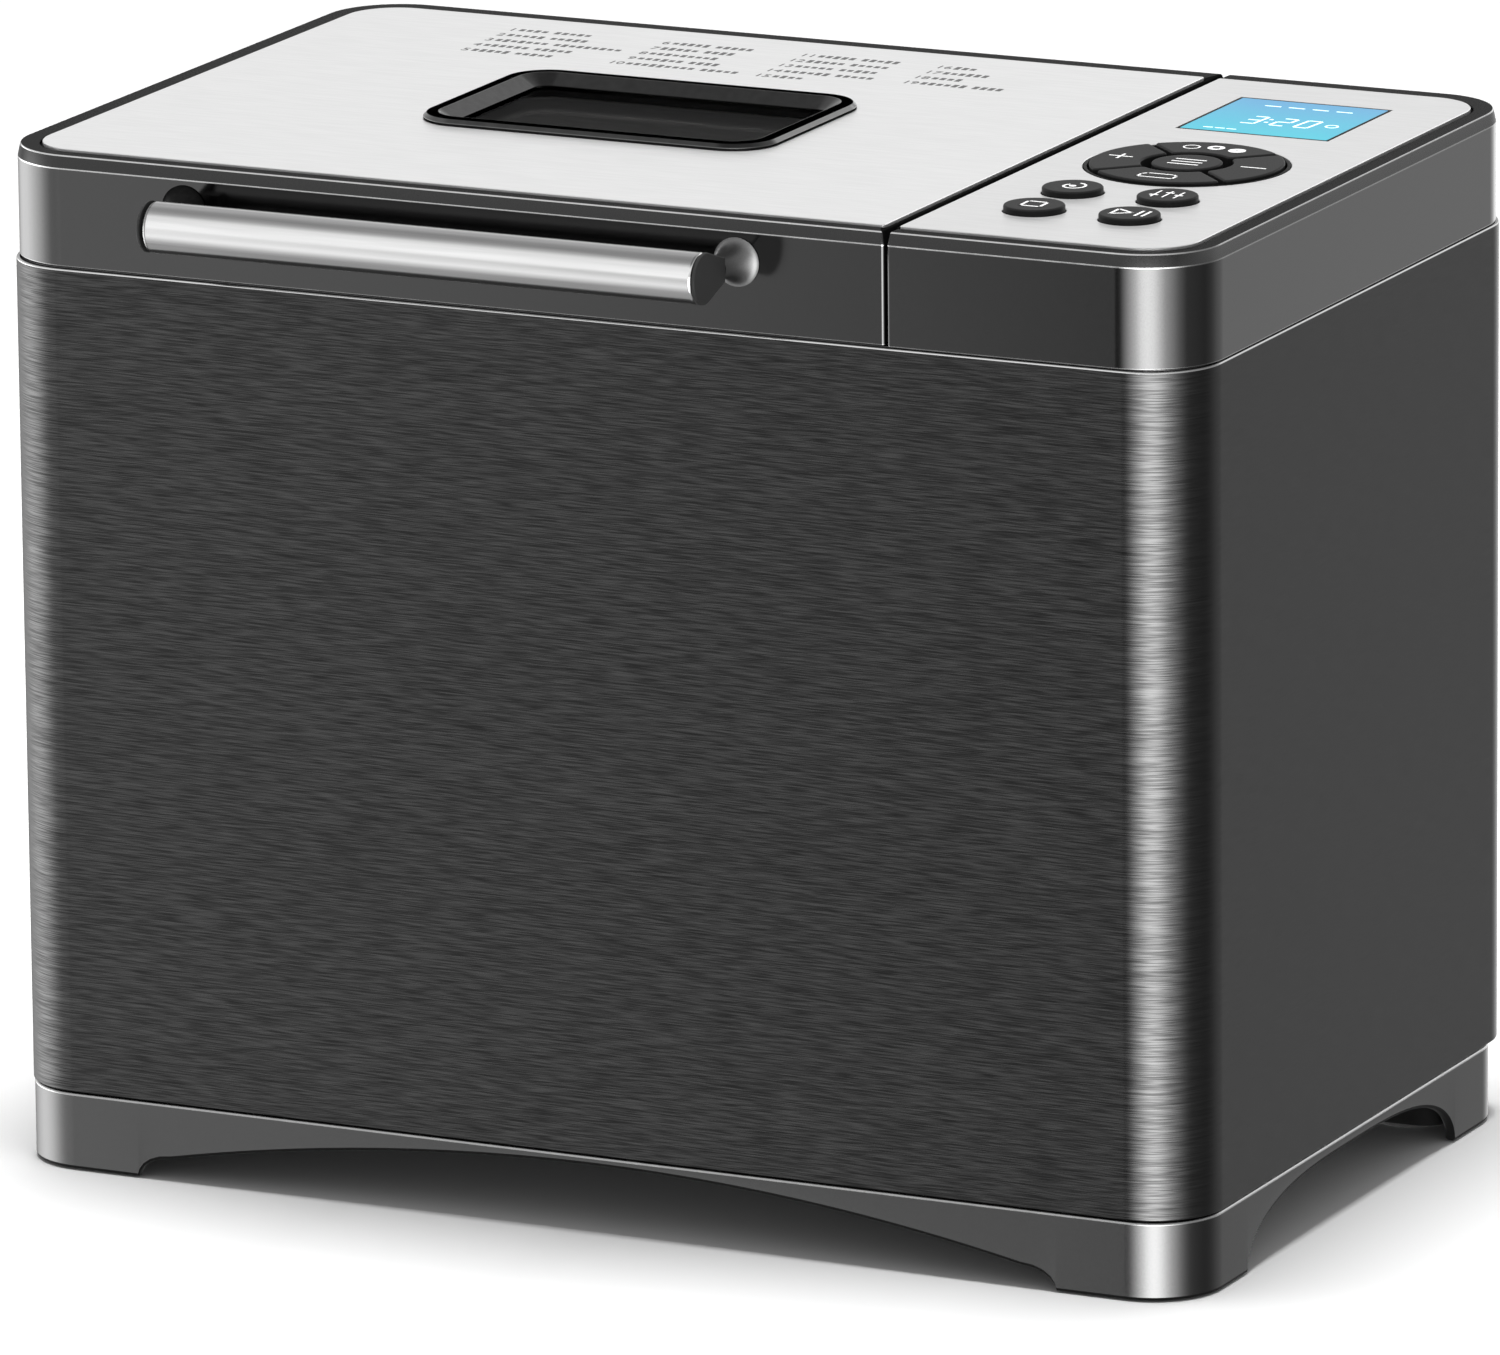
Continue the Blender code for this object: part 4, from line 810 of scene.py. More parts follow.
def barrel(x_low, x_high, sides=48):
    """Knuckle of a hinge, with eased ends."""
    ease = 0.0004
    corners = ((KNUCKLE_RADIUS - ease, x_low, 0), (KNUCKLE_RADIUS, x_low + ease, 0),
               (KNUCKLE_RADIUS, x_high - ease, 0), (KNUCKLE_RADIUS - ease, x_high, 0))
    return turned_on("x", corners, (HINGE_Y, HINGE_Z), sides=sides)


def lid_frame():
    """Lid shell with its window opening, hinge knuckles and the notches for the hinge ears."""
    clear = 0.0006                  # beside and above an ear
    knuckle_length = 0.0080
    bore_half = 0.016
    hole = rounded_rect(about(WINDOW, WINDOW_HALF), WINDOW_RADIUS, 0.0, COVER_STEPS)
    bounds = (LID[0], LID[1], -COVER_HALF_Y, COVER_HALF_Y)
    shape = cover(bounds, (COVER_RADIUS, SMALL_CORNER, SMALL_CORNER, COVER_RADIUS), LID_PLATE[:4],
                  (PLATE_RADIUS, RECESS_CORNER, RECESS_CORNER, PLATE_RADIUS), LID[4], hole)
    shape = cut(shape, block(-0.19, 0.10, HINGE_Y - 0.0015, 0.12, 0.250, REAR_WALL_FOOT))
    for x in HINGE_X:
        for side in (-1, 1):
            near = x + side * (EAR_HALF + clear)
            span = sorted((near, near + side * knuckle_length))
            web = block(*span, HINGE_Y - 0.001, HINGE_Y + 0.0035, HINGE_Z, HINGE_Z + 0.0065)
            shape = join(shape, web, barrel(*span))
        notch = block(x - EAR_HALF - clear, x + EAR_HALF + clear, 0.100, 0.12, 0.250, HINGE_Z + 0.0066)
        bore = rod("x", PIN_RADIUS + GAP, x - bore_half, x + bore_half, (HINGE_Y, HINGE_Z), 24)
        shape = cut(shape, notch, bore)
    made("lid_shell", shape, COVER_FINISH, "lid", ("lid_frame",), sharp=40)


def deck_and_box():
    """Deck round the oven mouth, and the control box that stands at its right end."""
    outer = rounded_rect((BODY[0], BODY[1], BODY[2], -BODY[2]), BODY_RADIUS, SHEET + GAP, COVER_STEPS)
    low = HOUSING[4]
    mouth = about(OVEN_CENTRE, (0.0995, 0.0775))
    mouth_radius = 0.0195
    lip = 0.0015
    loops = [level(outer, low), level(outer, DECK_TOP)]
    for share in (90, 60, 30, 0):
        rise = math.sin(math.radians(share))
        outline = rounded_rect(mouth, mouth_radius, -lip * rise, COVER_STEPS)
        loops.append(level(outline, DECK_TOP - lip * (1 - rise)))
    loops.append(level(rounded_rect(mouth, mouth_radius, 0.0, COVER_STEPS), low))
    made("deck", loft(loops, True), PAINT, "root", ("upper_housing",))

    bounds = (BOX_LEFT, COVER_RIGHT, -COVER_HALF_Y, COVER_HALF_Y)
    shape = cover(bounds, (SMALL_CORNER, COVER_RADIUS, COVER_RADIUS, SMALL_CORNER), PANEL[:4],
                  (RECESS_CORNER, PLATE_RADIUS, PLATE_RADIUS, RECESS_CORNER), DECK_TOP)
    margin = 0.001
    cutters = [opening(circle(PAD_CENTRE, PAD_RADIUS + GAP)),
               block(LCD[0] - margin, LCD[1] + margin, LCD[2] - margin, LCD[3] + margin, *CUT_SPAN)]
    cutters += [opening(circle(centre, ROUND_KEY_RADIUS + GAP)) for centre in ROUND_KEYS.values()]
    made("control_box", cut(shape, *cutters), COVER_FINISH, "root", sharp=40)


def sheet_loops(bounds, radii, bottom, top):
    """Outline of a thin sheet from its lower face to its eased upper edge."""
    places = ((0.0, bottom), (0.0, top - SHEET_EASE), (SHEET_EASE, top))
    return [level(rounded_rect(bounds, radii, inset, COVER_STEPS), z) for inset, z in places]


def plates():
    """Silver sheets of the lid and the control panel, with eased edges round every opening."""
    bottom, top = LID_PLATE[4], LID_PLATE[5]
    radii = (PLATE_RADIUS, SHEET_CORNER, SHEET_CORNER, PLATE_RADIUS)
    loops = sheet_loops(LID_PLATE[:4], radii, bottom, top)
    hole = rounded_rect(about(WINDOW, WINDOW_HALF), WINDOW_RADIUS, 0.0, COVER_STEPS)
    loops += [level(hole, top), level(hole, bottom)]
    made("lid_sheet", loft(loops, True), PLATE_SILVER, "lid", ("lid_plate",), sharp=25)

    radii = (SHEET_CORNER, PLATE_RADIUS, PLATE_RADIUS, SHEET_CORNER)
    sheet = loft(sheet_loops(PANEL[:4], radii, bottom, top))
    openings = [(PAD_CENTRE, PAD_RADIUS)] + [(place, ROUND_KEY_RADIUS) for place in ROUND_KEYS.values()]
    for centre, radius in openings:
        radius += GAP
        corners = ((radius, CUT_SPAN[0], 0), (radius, top - SHEET_EASE, 0),
                   (radius + 3 * SHEET_EASE, top + 2 * SHEET_EASE, 0))
        sheet = cut(sheet, turned(corners, centre, sides=96))
    sheet = cut(sheet, block(LCD[0] - GAP, LCD[1] + GAP, LCD[2] - GAP, LCD[3] + GAP, *CUT_SPAN))
    made("panel_sheet", sheet, PANEL_SILVER, "root", ("panel_plate",), sharp=25)


def window():
    """Bezel with softened edges, painted highlight lines on its crest edges, and the two panes."""
    foot = BEZEL[4]
    rest = LID_PLATE[5] + GAP
    top = BEZEL[5]
    seat = GLASS[5] + GAP
    inner_x = GLASS[0] - BEZEL[0] - GAP
    chamfer = 0.0011
    skirt = 0.0017
    corners = ((0.0, rest, 0.0), (0.0, top - chamfer, 0.0004), (chamfer, top, 0.0004),
               (0.0044, top, 0.0005), (0.0095, seat, 0.0002), (inner_x, seat, 0.0), (inner_x, foot, 0.0),
               (inner_x - skirt, foot, 0.0), (inner_x - skirt, rest, 0.0))
    points, owners = soften(corners, True)
    loops = [level(rounded_rect(BEZEL[:4], BEZEL_RADIUS, point.x, COVER_STEPS), point.y) for point in points]
    # the crest edges take the painted highlight
    shape = loft(loops, True, bands_of(owners, {1: 1, 3: 1}, True))
    made("bezel_ring", shape, (BEZEL_BLACK, BEZEL_EDGE_HIGHLIGHT), "lid", ("window_bezel",), sharp=40)
    ease = 0.0005
    panes = (("outer_pane", GLASS, "window_glass"), ("inner_pane", INNER_GLASS, "inner_glass"))
    for name, pane, node in panes:
        low, high = pane[4:]
        corners = ((ease, low, 0), (0.0, low + ease, 0), (0.0, high - ease, 0), (ease, high, 0))
        made(name, ring_of(pane[:4], 0.0115, corners), SMOKED_GLASS, "lid", (node,), sharp=30)


# ---------------------------------------------------------------- control panel
def sector(turn, inset, corner):
    """Outline of one arc key with rounded corners, pulled in by inset."""
    inner, outer = ARC_RADII[0] + inset, ARC_RADII[1] - inset
    gap = ARC_GAP + inset
    corner = max(corner - inset, 0.0001)
    arc_steps_each = 16
    points = []
    for index, (rim, side) in enumerate(((inner, -1), (outer, -1), (outer, 1), (inner, 1))):
        radius = rim + corner if rim == inner else rim - corner
        swing = side * (math.pi / 4 - math.asin((gap + corner) / radius))
        centre = Vector((math.cos(swing), math.sin(swing))) * radius
        heading = math.atan2(centre.y, centre.x) + (math.pi if rim == inner else 0.0)
        edge = side * math.pi * 3 / 4
        closes = index % 2 == 1
        start, end = (edge, heading) if closes else (heading, edge)
        turn_by = (end - start + math.pi) % math.tau - math.pi
        for step in range(5):
            at = start + turn_by * step / 4
            points.append((centre.x + corner * math.cos(at), centre.y + corner * math.sin(at)))
        for step in range(1, arc_steps_each if closes else 1):
            at = swing - 2 * swing * step / arc_steps_each
            points.append((rim * math.cos(at), rim * math.sin(at)))
    cosine, sine = math.cos(turn), math.sin(turn)
    return [(PAD_CENTRE[0] + x * cosine - y * sine, PAD_CENTRE[1] + x * sine + y * cosine) for x, y in points]


def key_cap(name, shape):
    made(name.replace("key", "cap"), shape, KEY_BLACK, name.replace("_key", "_button"),
         (name,), sharp=40)


def arc_key(name, degrees):
    points, _ = soften(((0.0, KEY_BOTTOM, 0), (0.0, KEY_TOP, KEY_EDGE), (0.0012, KEY_TOP, 0)))
    key_cap(name, loft([level(sector(math.radians(degrees), point.x, 0.0012), point.y) for point in points]))


def round_cap(name, centre, radius, top):
    corners = ((radius, KEY_BOTTOM, 0), (radius, top, KEY_EDGE), (radius - 0.0015, top, 0))
    key_cap(name, turned(corners, centre, sides=72))


def dish():
    """Round well of the keypad, its rim level with the panel plate."""
    flange, foot, shoulder, floor_z, rim = 0.0310, 0.2835, 0.2853, 0.2850, 0.2902
    corners = ((flange, foot, 0), (flange, shoulder, 0), (PAD_RADIUS, shoulder, 0), (PAD_RADIUS, rim, 0.0003),
               (PAD_INNER, rim, 0.0003), (PAD_INNER, floor_z, 0.0006), (0.001, floor_z, 0))
    made("keypad_well", turned(corners, PAD_CENTRE, sides=96), DISH_BLACK_AND_POST_SHADE, "root",
         ("keypad_dish",), sharp=40)


def stroke(points, width, z):
    """Flat printed line of even width through points."""
    half = width / 2
    pieces = []
    for start, end in zip(points, points[1:]):
        start, end = Vector(start), Vector(end)
        along = (end - start).normalized()
        side = Vector((-along.y, along.x)) * half
        start, end = start - along * half, end + along * half
        outline = [tuple(start - side), tuple(end - side), tuple(end + side), tuple(start + side)]
        pieces.append(prism(outline, z, z + PRINT))
    return pieces


def marked(centre, offsets, width, z):
    """Printed line through points given from a centre."""
    return stroke([(centre[0] + x, centre[1] + y) for x, y in offsets], width, z)


def ring_mark(centre, radius, width, z):
    outer = circle(centre, radius, 32)
    inner = circle(centre, radius - width, 32)
    return [loft([level(outer, z), level(outer, z + PRINT), level(inner, z + PRINT), level(inner, z)], True)]


def hook(centre, width, z):
    """Open spiral round a dot."""
    ribbon = []
    for half, steps in ((width / 2, range(25)), (-width / 2, reversed(range(25)))):
        for step in steps:
            angle = math.radians(80 - 13 * step)
            size = 0.0030 - 0.00006 * step + half
            ribbon.append((centre[0] + size * math.cos(angle), centre[1] + size * math.sin(angle)))
    return [prism(ribbon, z, z + PRINT)] + ring_mark(centre, 0.0008, 0.00079, z)


def key_marks():
    """Plain symbols on the keys: plus, minus, crust shades, loaf, menu bars, hook, sliders, stop, start."""
    width = 0.00055
    wide = 0.0006
    over = 0.00001                  # lift of a line that crosses another
    x, y = PAD_CENTRE
    reach = sum(ARC_RADII) / 2
    places = {"plus": (x - reach, y), "minus": (x + reach, y), "colour": (x, y + reach),
              "loaf": (x, y - reach), "menu": PAD_CENTRE, "stop": ROUND_KEYS["stop_key"],
              "start": ROUND_KEYS["start_key"], "knead": ROUND_KEYS["knead_key"],
              "custom": ROUND_KEYS["custom_key"]}
    marks = {name: [] for name in places}
    top = KEY_TOP
    marks["plus"] += marked(places["plus"], ((-0.0024, 0), (0.0024, 0)), width, top)
    marks["plus"] += marked(places["plus"], ((0, -0.0020), (0, 0.0020)), width, top + over)
    marks["minus"] += marked(places["minus"], ((-0.0026, 0), (0.0026, 0)), width, top)
    x, y = places["colour"]
    for index, drop in enumerate((0.0010, 0.0, 0.0010)):
        centre = (x + (index - 1) * 0.0052, y - drop)
        marks["colour"] += ring_mark(centre, 0.0019, 0.0004 + 0.0006 * index, top)
    loaf = ((-0.0040, -0.0016), (0.0040, -0.0016), (0.0040, 0.0008), (0.0030, 0.0020), (-0.0030, 0.0020),
            (-0.0040, 0.0008), (-0.0040, -0.0016))
    marks["loaf"] += marked(places["loaf"], loaf, 0.0005, top)
    for up in (0.0023, 0.0, -0.0023):
        marks["menu"] += marked(places["menu"], ((-0.0032, up), (0.0032, up)), wide, top)
    top = ROUND_KEY_TOP
    half = 0.0022
    square = ((-half, -half), (half, -half), (half, half), (-half, half), (-half, -half))
    marks["stop"] += marked(places["stop"], square, wide, top)
    triangle = ((-0.0034, -0.0024), (0.0006, 0), (-0.0034, 0.0024), (-0.0034, -0.0024))
    for line in (triangle, ((half, -half), (half, half)), ((0.0038, -half), (0.0038, half))):
        marks["start"] += marked(places["start"], line, wide, top)
    marks["knead"] += hook(places["knead"], width, top)
    for across, knob in ((-0.0026, -0.0012), (0.0, 0.0014), (0.0026, -0.0002)):
        track = ((across, -0.0028), (across, 0.0028))
        slider = ((across - 0.0006, knob), (across + 0.0006, knob))
        marks["custom"] += marked(places["custom"], track, 0.0004, top)
        marks["custom"] += marked(places["custom"], slider, 0.0007, top + over)
    for name, shapes in marks.items():
        symbol = gather(shapes)
        place = Matrix.Translation((*places[name], 0))
        grow = place @ Matrix.Diagonal((SYMBOL_SCALE, SYMBOL_SCALE, 1, 1)) @ place.inverted()
        bmesh.ops.transform(symbol, verts=symbol.verts, matrix=grow)
        made(name + "_symbol", symbol, KEY_MARK, name + "_button")


# each digit lists its lit bars: top, upper left, upper right, middle, lower left, lower right, bottom
DIGIT_BARS = {"0": "TLRlrB", "1": "Rr", "2": "TRMlB", "3": "TRMrB", "4": "LRMr", "5": "TLMrB",
              "6": "TLMlrB", "7": "TRr", "8": "TLRMlrB", "9": "TLRMrB"}


def digit(text, x, y, width, height, line, slant, z):
    """Seven-bar numeral with its lower left corner at x, y."""
    half = height / 2
    ends = {"T": ((0, height), (width, height)), "M": ((0, half), (width, half)), "B": ((0, 0), (width, 0)),
            "L": ((0, half), (0, height)), "R": ((width, half), (width, height)),
            "l": ((0, 0), (0, half)), "r": ((width, 0), (width, half))}
    shapes = []
    for bar in DIGIT_BARS[text]:
        (x0, y0), (x1, y1) = ends[bar]
        start = Vector((x + x0 + slant * y0, y + y0))
        end = Vector((x + x1 + slant * y1, y + y1))
        along = (end - start).normalized() * line * 0.62
        shapes += stroke([tuple(start + along), tuple(end - along)], line, z)
    return shapes


def display():
    """Display lens level with the plate, showing a time and a few small marks."""
    corners = ((0.0, LCD[4], 0), (0.0, LCD[5], 0.0002), (0.0007, LCD[5], 0))
    points, _ = soften(corners)
    loops = [level(rounded_rect(LCD[:4], 0.0008, point.x, 4), point.y) for point in points]
    lens = loft(loops, bands=[1] * (len(loops) - 1))
    made("display_lens", lens, (DISPLAY_BLUE, DISH_BLACK_AND_POST_SHADE), "root", ("lcd_display",))
    z = LCD[5]
    x = LCD[0] + 0.0132
    y = LCD[2] + 0.0135
    digit_pitch, colon_gap = 0.0072, 0.0016
    shapes = []
    for text in "320":
        shapes += digit(text, x, y, 0.0040, 0.0092, 0.0008, 0.10, z)
        x += digit_pitch
        if text == "3":
            for up in (0.0028, 0.0066):
                shapes += stroke([(x - 0.0006, y + up), (x - 0.0005, y + up)], 0.0010, z)
            x += colon_gap
    for index in range(3):
        start = LCD[0] + 0.0065 + index * 0.0035
        shapes += marked((start, LCD[2] + 0.0045), ((0, 0), (0.0022, 0)), 0.0007, z)
    for index in range(4):
        start = LCD[0] + 0.0110 + index * 0.0072
        shapes += marked((start, LCD[3] - 0.0080), ((0, 0), (0.0040, 0)), 0.0008, z)
    shapes += ring_mark((LCD[1] - 0.0065, LCD[2] + 0.0180), 0.0020, 0.0006, z)
    made("display_marks", gather(shapes), DISPLAY_MARK, "root")


def numeral(text, x, y, size, z):
    """Printed numeral from the plain built-in typeface."""
    curve = bpy.data.curves.new("numeral", "FONT")
    curve.body = text
    curve.size = size
    curve.extrude = PRINT / 2
    curve.resolution_u = 3
    holder = placed("numeral", curve)
    holder.location = (x, y, z + PRINT / 2)
    bpy.context.view_layer.update()
    mesh = bpy.data.meshes.new_from_object(holder.evaluated_get(bpy.context.evaluated_depsgraph_get()))
    mesh.transform(holder.matrix_world)
    shape = bmesh.new()
    shape.from_mesh(mesh)
    bpy.data.objects.remove(holder)
    bpy.data.curves.remove(curve)
    bpy.data.meshes.remove(mesh)
    return shape


def programme_list():
    """Numbered programme list behind the window: a numeral and a row of plain ticks for each programme."""
    first_row, row_pitch = 0.0877, 0.0075
    numeral_size, numeral_shift = 0.0050, 0.0024
    tick_width, tick_pitch, word_gap = 0.0015, 0.0024, 0.0016
    random.seed(7)
    z = LID_PLATE[5]
    shapes = []
    number = 1
    for x, words in zip(LIST_COLUMNS, LIST_WORDS):
        for row, lengths in enumerate(words):
            y = first_row - row * row_pitch
            label = str(number)
            left = x - numeral_shift * (len(label) - 1)
            shapes.append(numeral(label, left, y - 0.0018, numeral_size, z))
            tick = x + 0.0034
            for length in lengths:
                for _ in range(length):
                    half = 0.0010 + 0.0008 * random.random()
                    shapes.append(block(tick, tick + tick_width, y - half, y + half, z, z + PRINT))
                    tick += tick_pitch
                tick += word_gap
            number += 1
    made("programme_marks", gather(shapes), PLATE_MARK, "lid")


# ---------------------------------------------------------------- handle
def handle_bar(centre, radius):
    """Silver bar along x, its left rounding darker as painted shade."""
    x_low, x_high = BAR[:2]
    corners = ((0.0005, x_low, 0), (radius, x_low, 0.0017), (radius, x_high, 0.0009), (0.0005, x_high, 0))
    bar = turned_on("x", corners, centre, sides=72)
    # the left rounding takes the painted shade
    for face in bar.faces:
        if face.calc_center_median().x < x_low + 0.0016:
            face.material_index = 1
    made("bar", bar, (BAR_SILVER, BAR_END_SHADE), "lid", ("handle_bar",), sharp=60)


def handle_arm(word, end, side, centre, radius):
    """End plate that wraps the bar's end, with its neck back to the post."""
    bar_y, bar_z = centre
    neck_half = 0.0034
    neck_end = edges("handle_post_left")[2] - GAP
    corner = 0.0006
    thickness, ease, neck_width = 0.0011, 0.00025, 0.0055
    profile = arc(centre, radius, 75, 285, 32)
    for centre_z, first in ((bar_z - neck_half + corner, 270), (bar_z + neck_half - corner, 0)):
        profile += arc((neck_end - corner, centre_z), corner, first, first + 90, 3)
    middle_point = Vector([sum(places) / len(profile) for places in zip(*profile)])
    near = end + side * GAP
    far = end + side * thickness
    inner = far - side * ease
    loops = []
    for x, shrink in ((near, 0.0), (inner, 0.0), (far, 0.03)):
        points = [Vector(place).lerp(middle_point, shrink) for place in profile]
        loops.append([(x, point.x, point.y) for point in points])
    neck = block(*sorted((end - side * neck_width, inner)), bar_y + radius + GAP, neck_end, bar_z - neck_half,
                 bar_z + neck_half)
    made("arm_" + word, join(loft(loops), neck), ARM_BLACK, "lid", ("handle_arm_" + word,),
         sharp=40)


def handle_post(word, end, side, bar_z):
    """Post that flares from the arm towards the lid."""
    node = "handle_post_" + word
    start, stop = edges(node)[2:4]
    flare = []
    for step in range(17):
        share = math.sin(math.pi / 2 * step / 16)
        wide = POST_RADII[0] + (POST_RADII[1] - POST_RADII[0]) * (1 - math.sqrt(1 - share * share))
        out = POST_SHIFT[0] + (POST_SHIFT[1] - POST_SHIFT[0]) * share
        rim = circle((end + side * out, bar_z + 0.0006 * share), wide)
        flare.append([(x, start + (stop - start) * share, z) for x, z in rim])
    # the left post is painted black as shade; the right post's lighter satin grey is partly a painted
    # highlight
    finish = DISH_BLACK_AND_POST_SHADE if word == "left" else POST_SATIN_AND_HIGHLIGHT
    made("post_" + word, loft(flare), finish, "lid", (node,))


def handle():
    radius = (BAR[5] - BAR[4]) / 2
    centre = ((BAR[2] + BAR[3]) / 2, (BAR[4] + BAR[5]) / 2)
    handle_bar(centre, radius)
    for word, end, side in (("left", BAR[0], -1), ("right", BAR[1], 1)):
        handle_arm(word, end, side, centre, radius)
        handle_post(word, end, side, centre[1])


def shown_for(node, shape, material, body="root", sharp=40):
    """Finer piece shown in place of one CAD node."""
    return made("fine_" + node, shape, material, body, (node,), sharp=sharp)


def hinges():
    """Ears that stand up from the deck, and the pins through them."""
    back = HINGE_Y + KNUCKLE_RADIUS
    axis = (HINGE_Y, HINGE_Z)
    for word, x in zip(("left", "right"), HINGE_X):
        left, right = x - EAR_HALF, x + EAR_HALF
        low = edges("hinge_bracket_" + word)[4]
        foot = block(left, right, 0.0940, back, low, low + 0.0016)
        ear = block(left, right, HINGE_Y - KNUCKLE_RADIUS, back, low, HINGE_Z)
        bore = rod("x", PIN_RADIUS + GAP, x - 0.01, x + 0.01, axis, 24)
        shown_for("hinge_bracket_" + word, cut(join(foot, ear, barrel(left, right, 40)), bore), SATIN_STEEL)
        start, end = edges("hinge_pin_" + word)[:2]
        pin = turned_on("x", ((0.0002, start, 0), (PIN_RADIUS, start, 0.0004), (PIN_RADIUS, end, 0.0004),
                              (0.0002, end, 0)), axis, sides=32)
        shown_for("hinge_pin_" + word, pin, STEEL_AND_HEM_HIGHLIGHT)


def across_slot(x, half, z_low, z_high):
    """Slot cutter with round ends, through the rear panel."""
    radius = (z_high - z_low) / 2
    outline = []
    for side, first in ((1, -90), (-1, 90)):
        outline += arc((x + side * (half - radius), z_low + radius), radius, first, first + 180, 8)
    return loft([[(px, y, pz) for px, pz in outline] for y in REAR_SPAN])


def screw_head(x, z, y):
    """Domed head with a cross recess, standing out from a face at y."""
    radius = 0.0034
    corners = ((0.0002, y, 0), (radius, y, 0), (radius, y + 0.0006, 0.0003),
               (radius * 0.6, y + 0.0014, 0.001), (0.0002, y + 0.0015, 0))
    head = turned_on("y", corners, (x, z), sides=32)
    for half_x, half_z in ((radius * 0.55, 0.0003), (0.0003, radius * 0.55)):
        head = cut(head, block(x - half_x, x + half_x, y + 0.0007, y + 0.003, z - half_z, z + half_z))
    return head


def rear():
    """Rear panel with two banks of hooded vents and its screws, and the flanged gland for the cord."""
    vent_half, vent_height = 0.030, 0.0035
    vent_foot, vent_pitch, vent_rows = 0.170, 0.010, 6
    panel = block(*edges("rear_panel"))
    y_high, z_low, z_high = edges("rear_panel")[3:]
    hoods = []
    for column in (-0.095, 0.095):
        for row in range(vent_rows):
            z = vent_foot + vent_pitch * row
            panel = cut(panel, across_slot(column, vent_half, z, z + vent_height))
            hood = ((y_high, z + 0.0036), (y_high + 0.0016, z + 0.0030), (y_high + 0.0017, z + 0.0034),
                    (y_high, z + 0.0066))
            ends = (column - vent_half, column + vent_half)
            hoods.append(loft([[(x, y, up) for y, up in hood] for x in ends]))
    gland = middle("cord_gland").xz
    shown_for("rear_panel", cut(panel, rod("y", 0.0083, *REAR_SPAN, gland)), REAR_PAINT)
    made("vent_hoods", gather(hoods), REAR_PAINT, "root")
    heights = (z_low + 0.010, z_high - 0.014)
    screws = [screw_head(x, z, y_high) for x in (-0.148, 0.0, 0.148) for z in heights]
    made("rear_screws", gather(screws), ZINC, "root")
    inner, outer = edges("cord_gland")[2:4]
    flange = y_high + GAP
    corners = ((0.0080, inner, 0.0004), (0.0080, flange, 0), (0.0110, flange, 0.0002),
               (0.0110, outer - 0.0020, 0.0012), (0.0075, outer - 0.0012, 0.0006), (0.0068, outer, 0.0006),
               (0.0042, outer, 0.0006), (0.0042, inner, 0.0006))
    shown_for("cord_gland", turned_on("y", corners, gland, True), RUBBER)


def feet():
    """Rubber pads with a rounded tread edge and a recessed centre."""
    recess = 0.0010
    for corner_name in FEET:
        node = "foot_" + corner_name
        x_low, x_high, _, _, z_low, z_high = edges(node)
        radius = (x_high - x_low) / 2
        corners = ((0.0005, z_low + recess, 0), (radius * 0.45, z_low + recess, 0.0002),
                   (radius * 0.50, z_low, 0.0003), (radius, z_low, 0.0008), (radius, z_high, 0.0003),
                   (0.0005, z_high, 0))
        shown_for(node, turned(corners, middle(node)), RUBBER)


# ---------------------------------------------------------------- oven and pan
OVEN_HALF = (0.100, 0.078)
OVEN_SHEET = 0.0008
ELEMENT_Z = 0.1010
ELEMENT_RADIUS = 0.0032
LEG_Y = 0.0140
PAN_TAPER = 0.0040
PAN_WALL = 0.0014
BAIL_Z = 0.2310
BAIL_RADIUS = 0.0020
BAIL_REACH = 0.0670
SHAFT_RADIUS = 0.0040


def wall_hole(y, z, radius):
    """Cutter along x, through the oven's right wall."""
    return rod("x", radius, 0.05, 0.07, (y, z), 32)


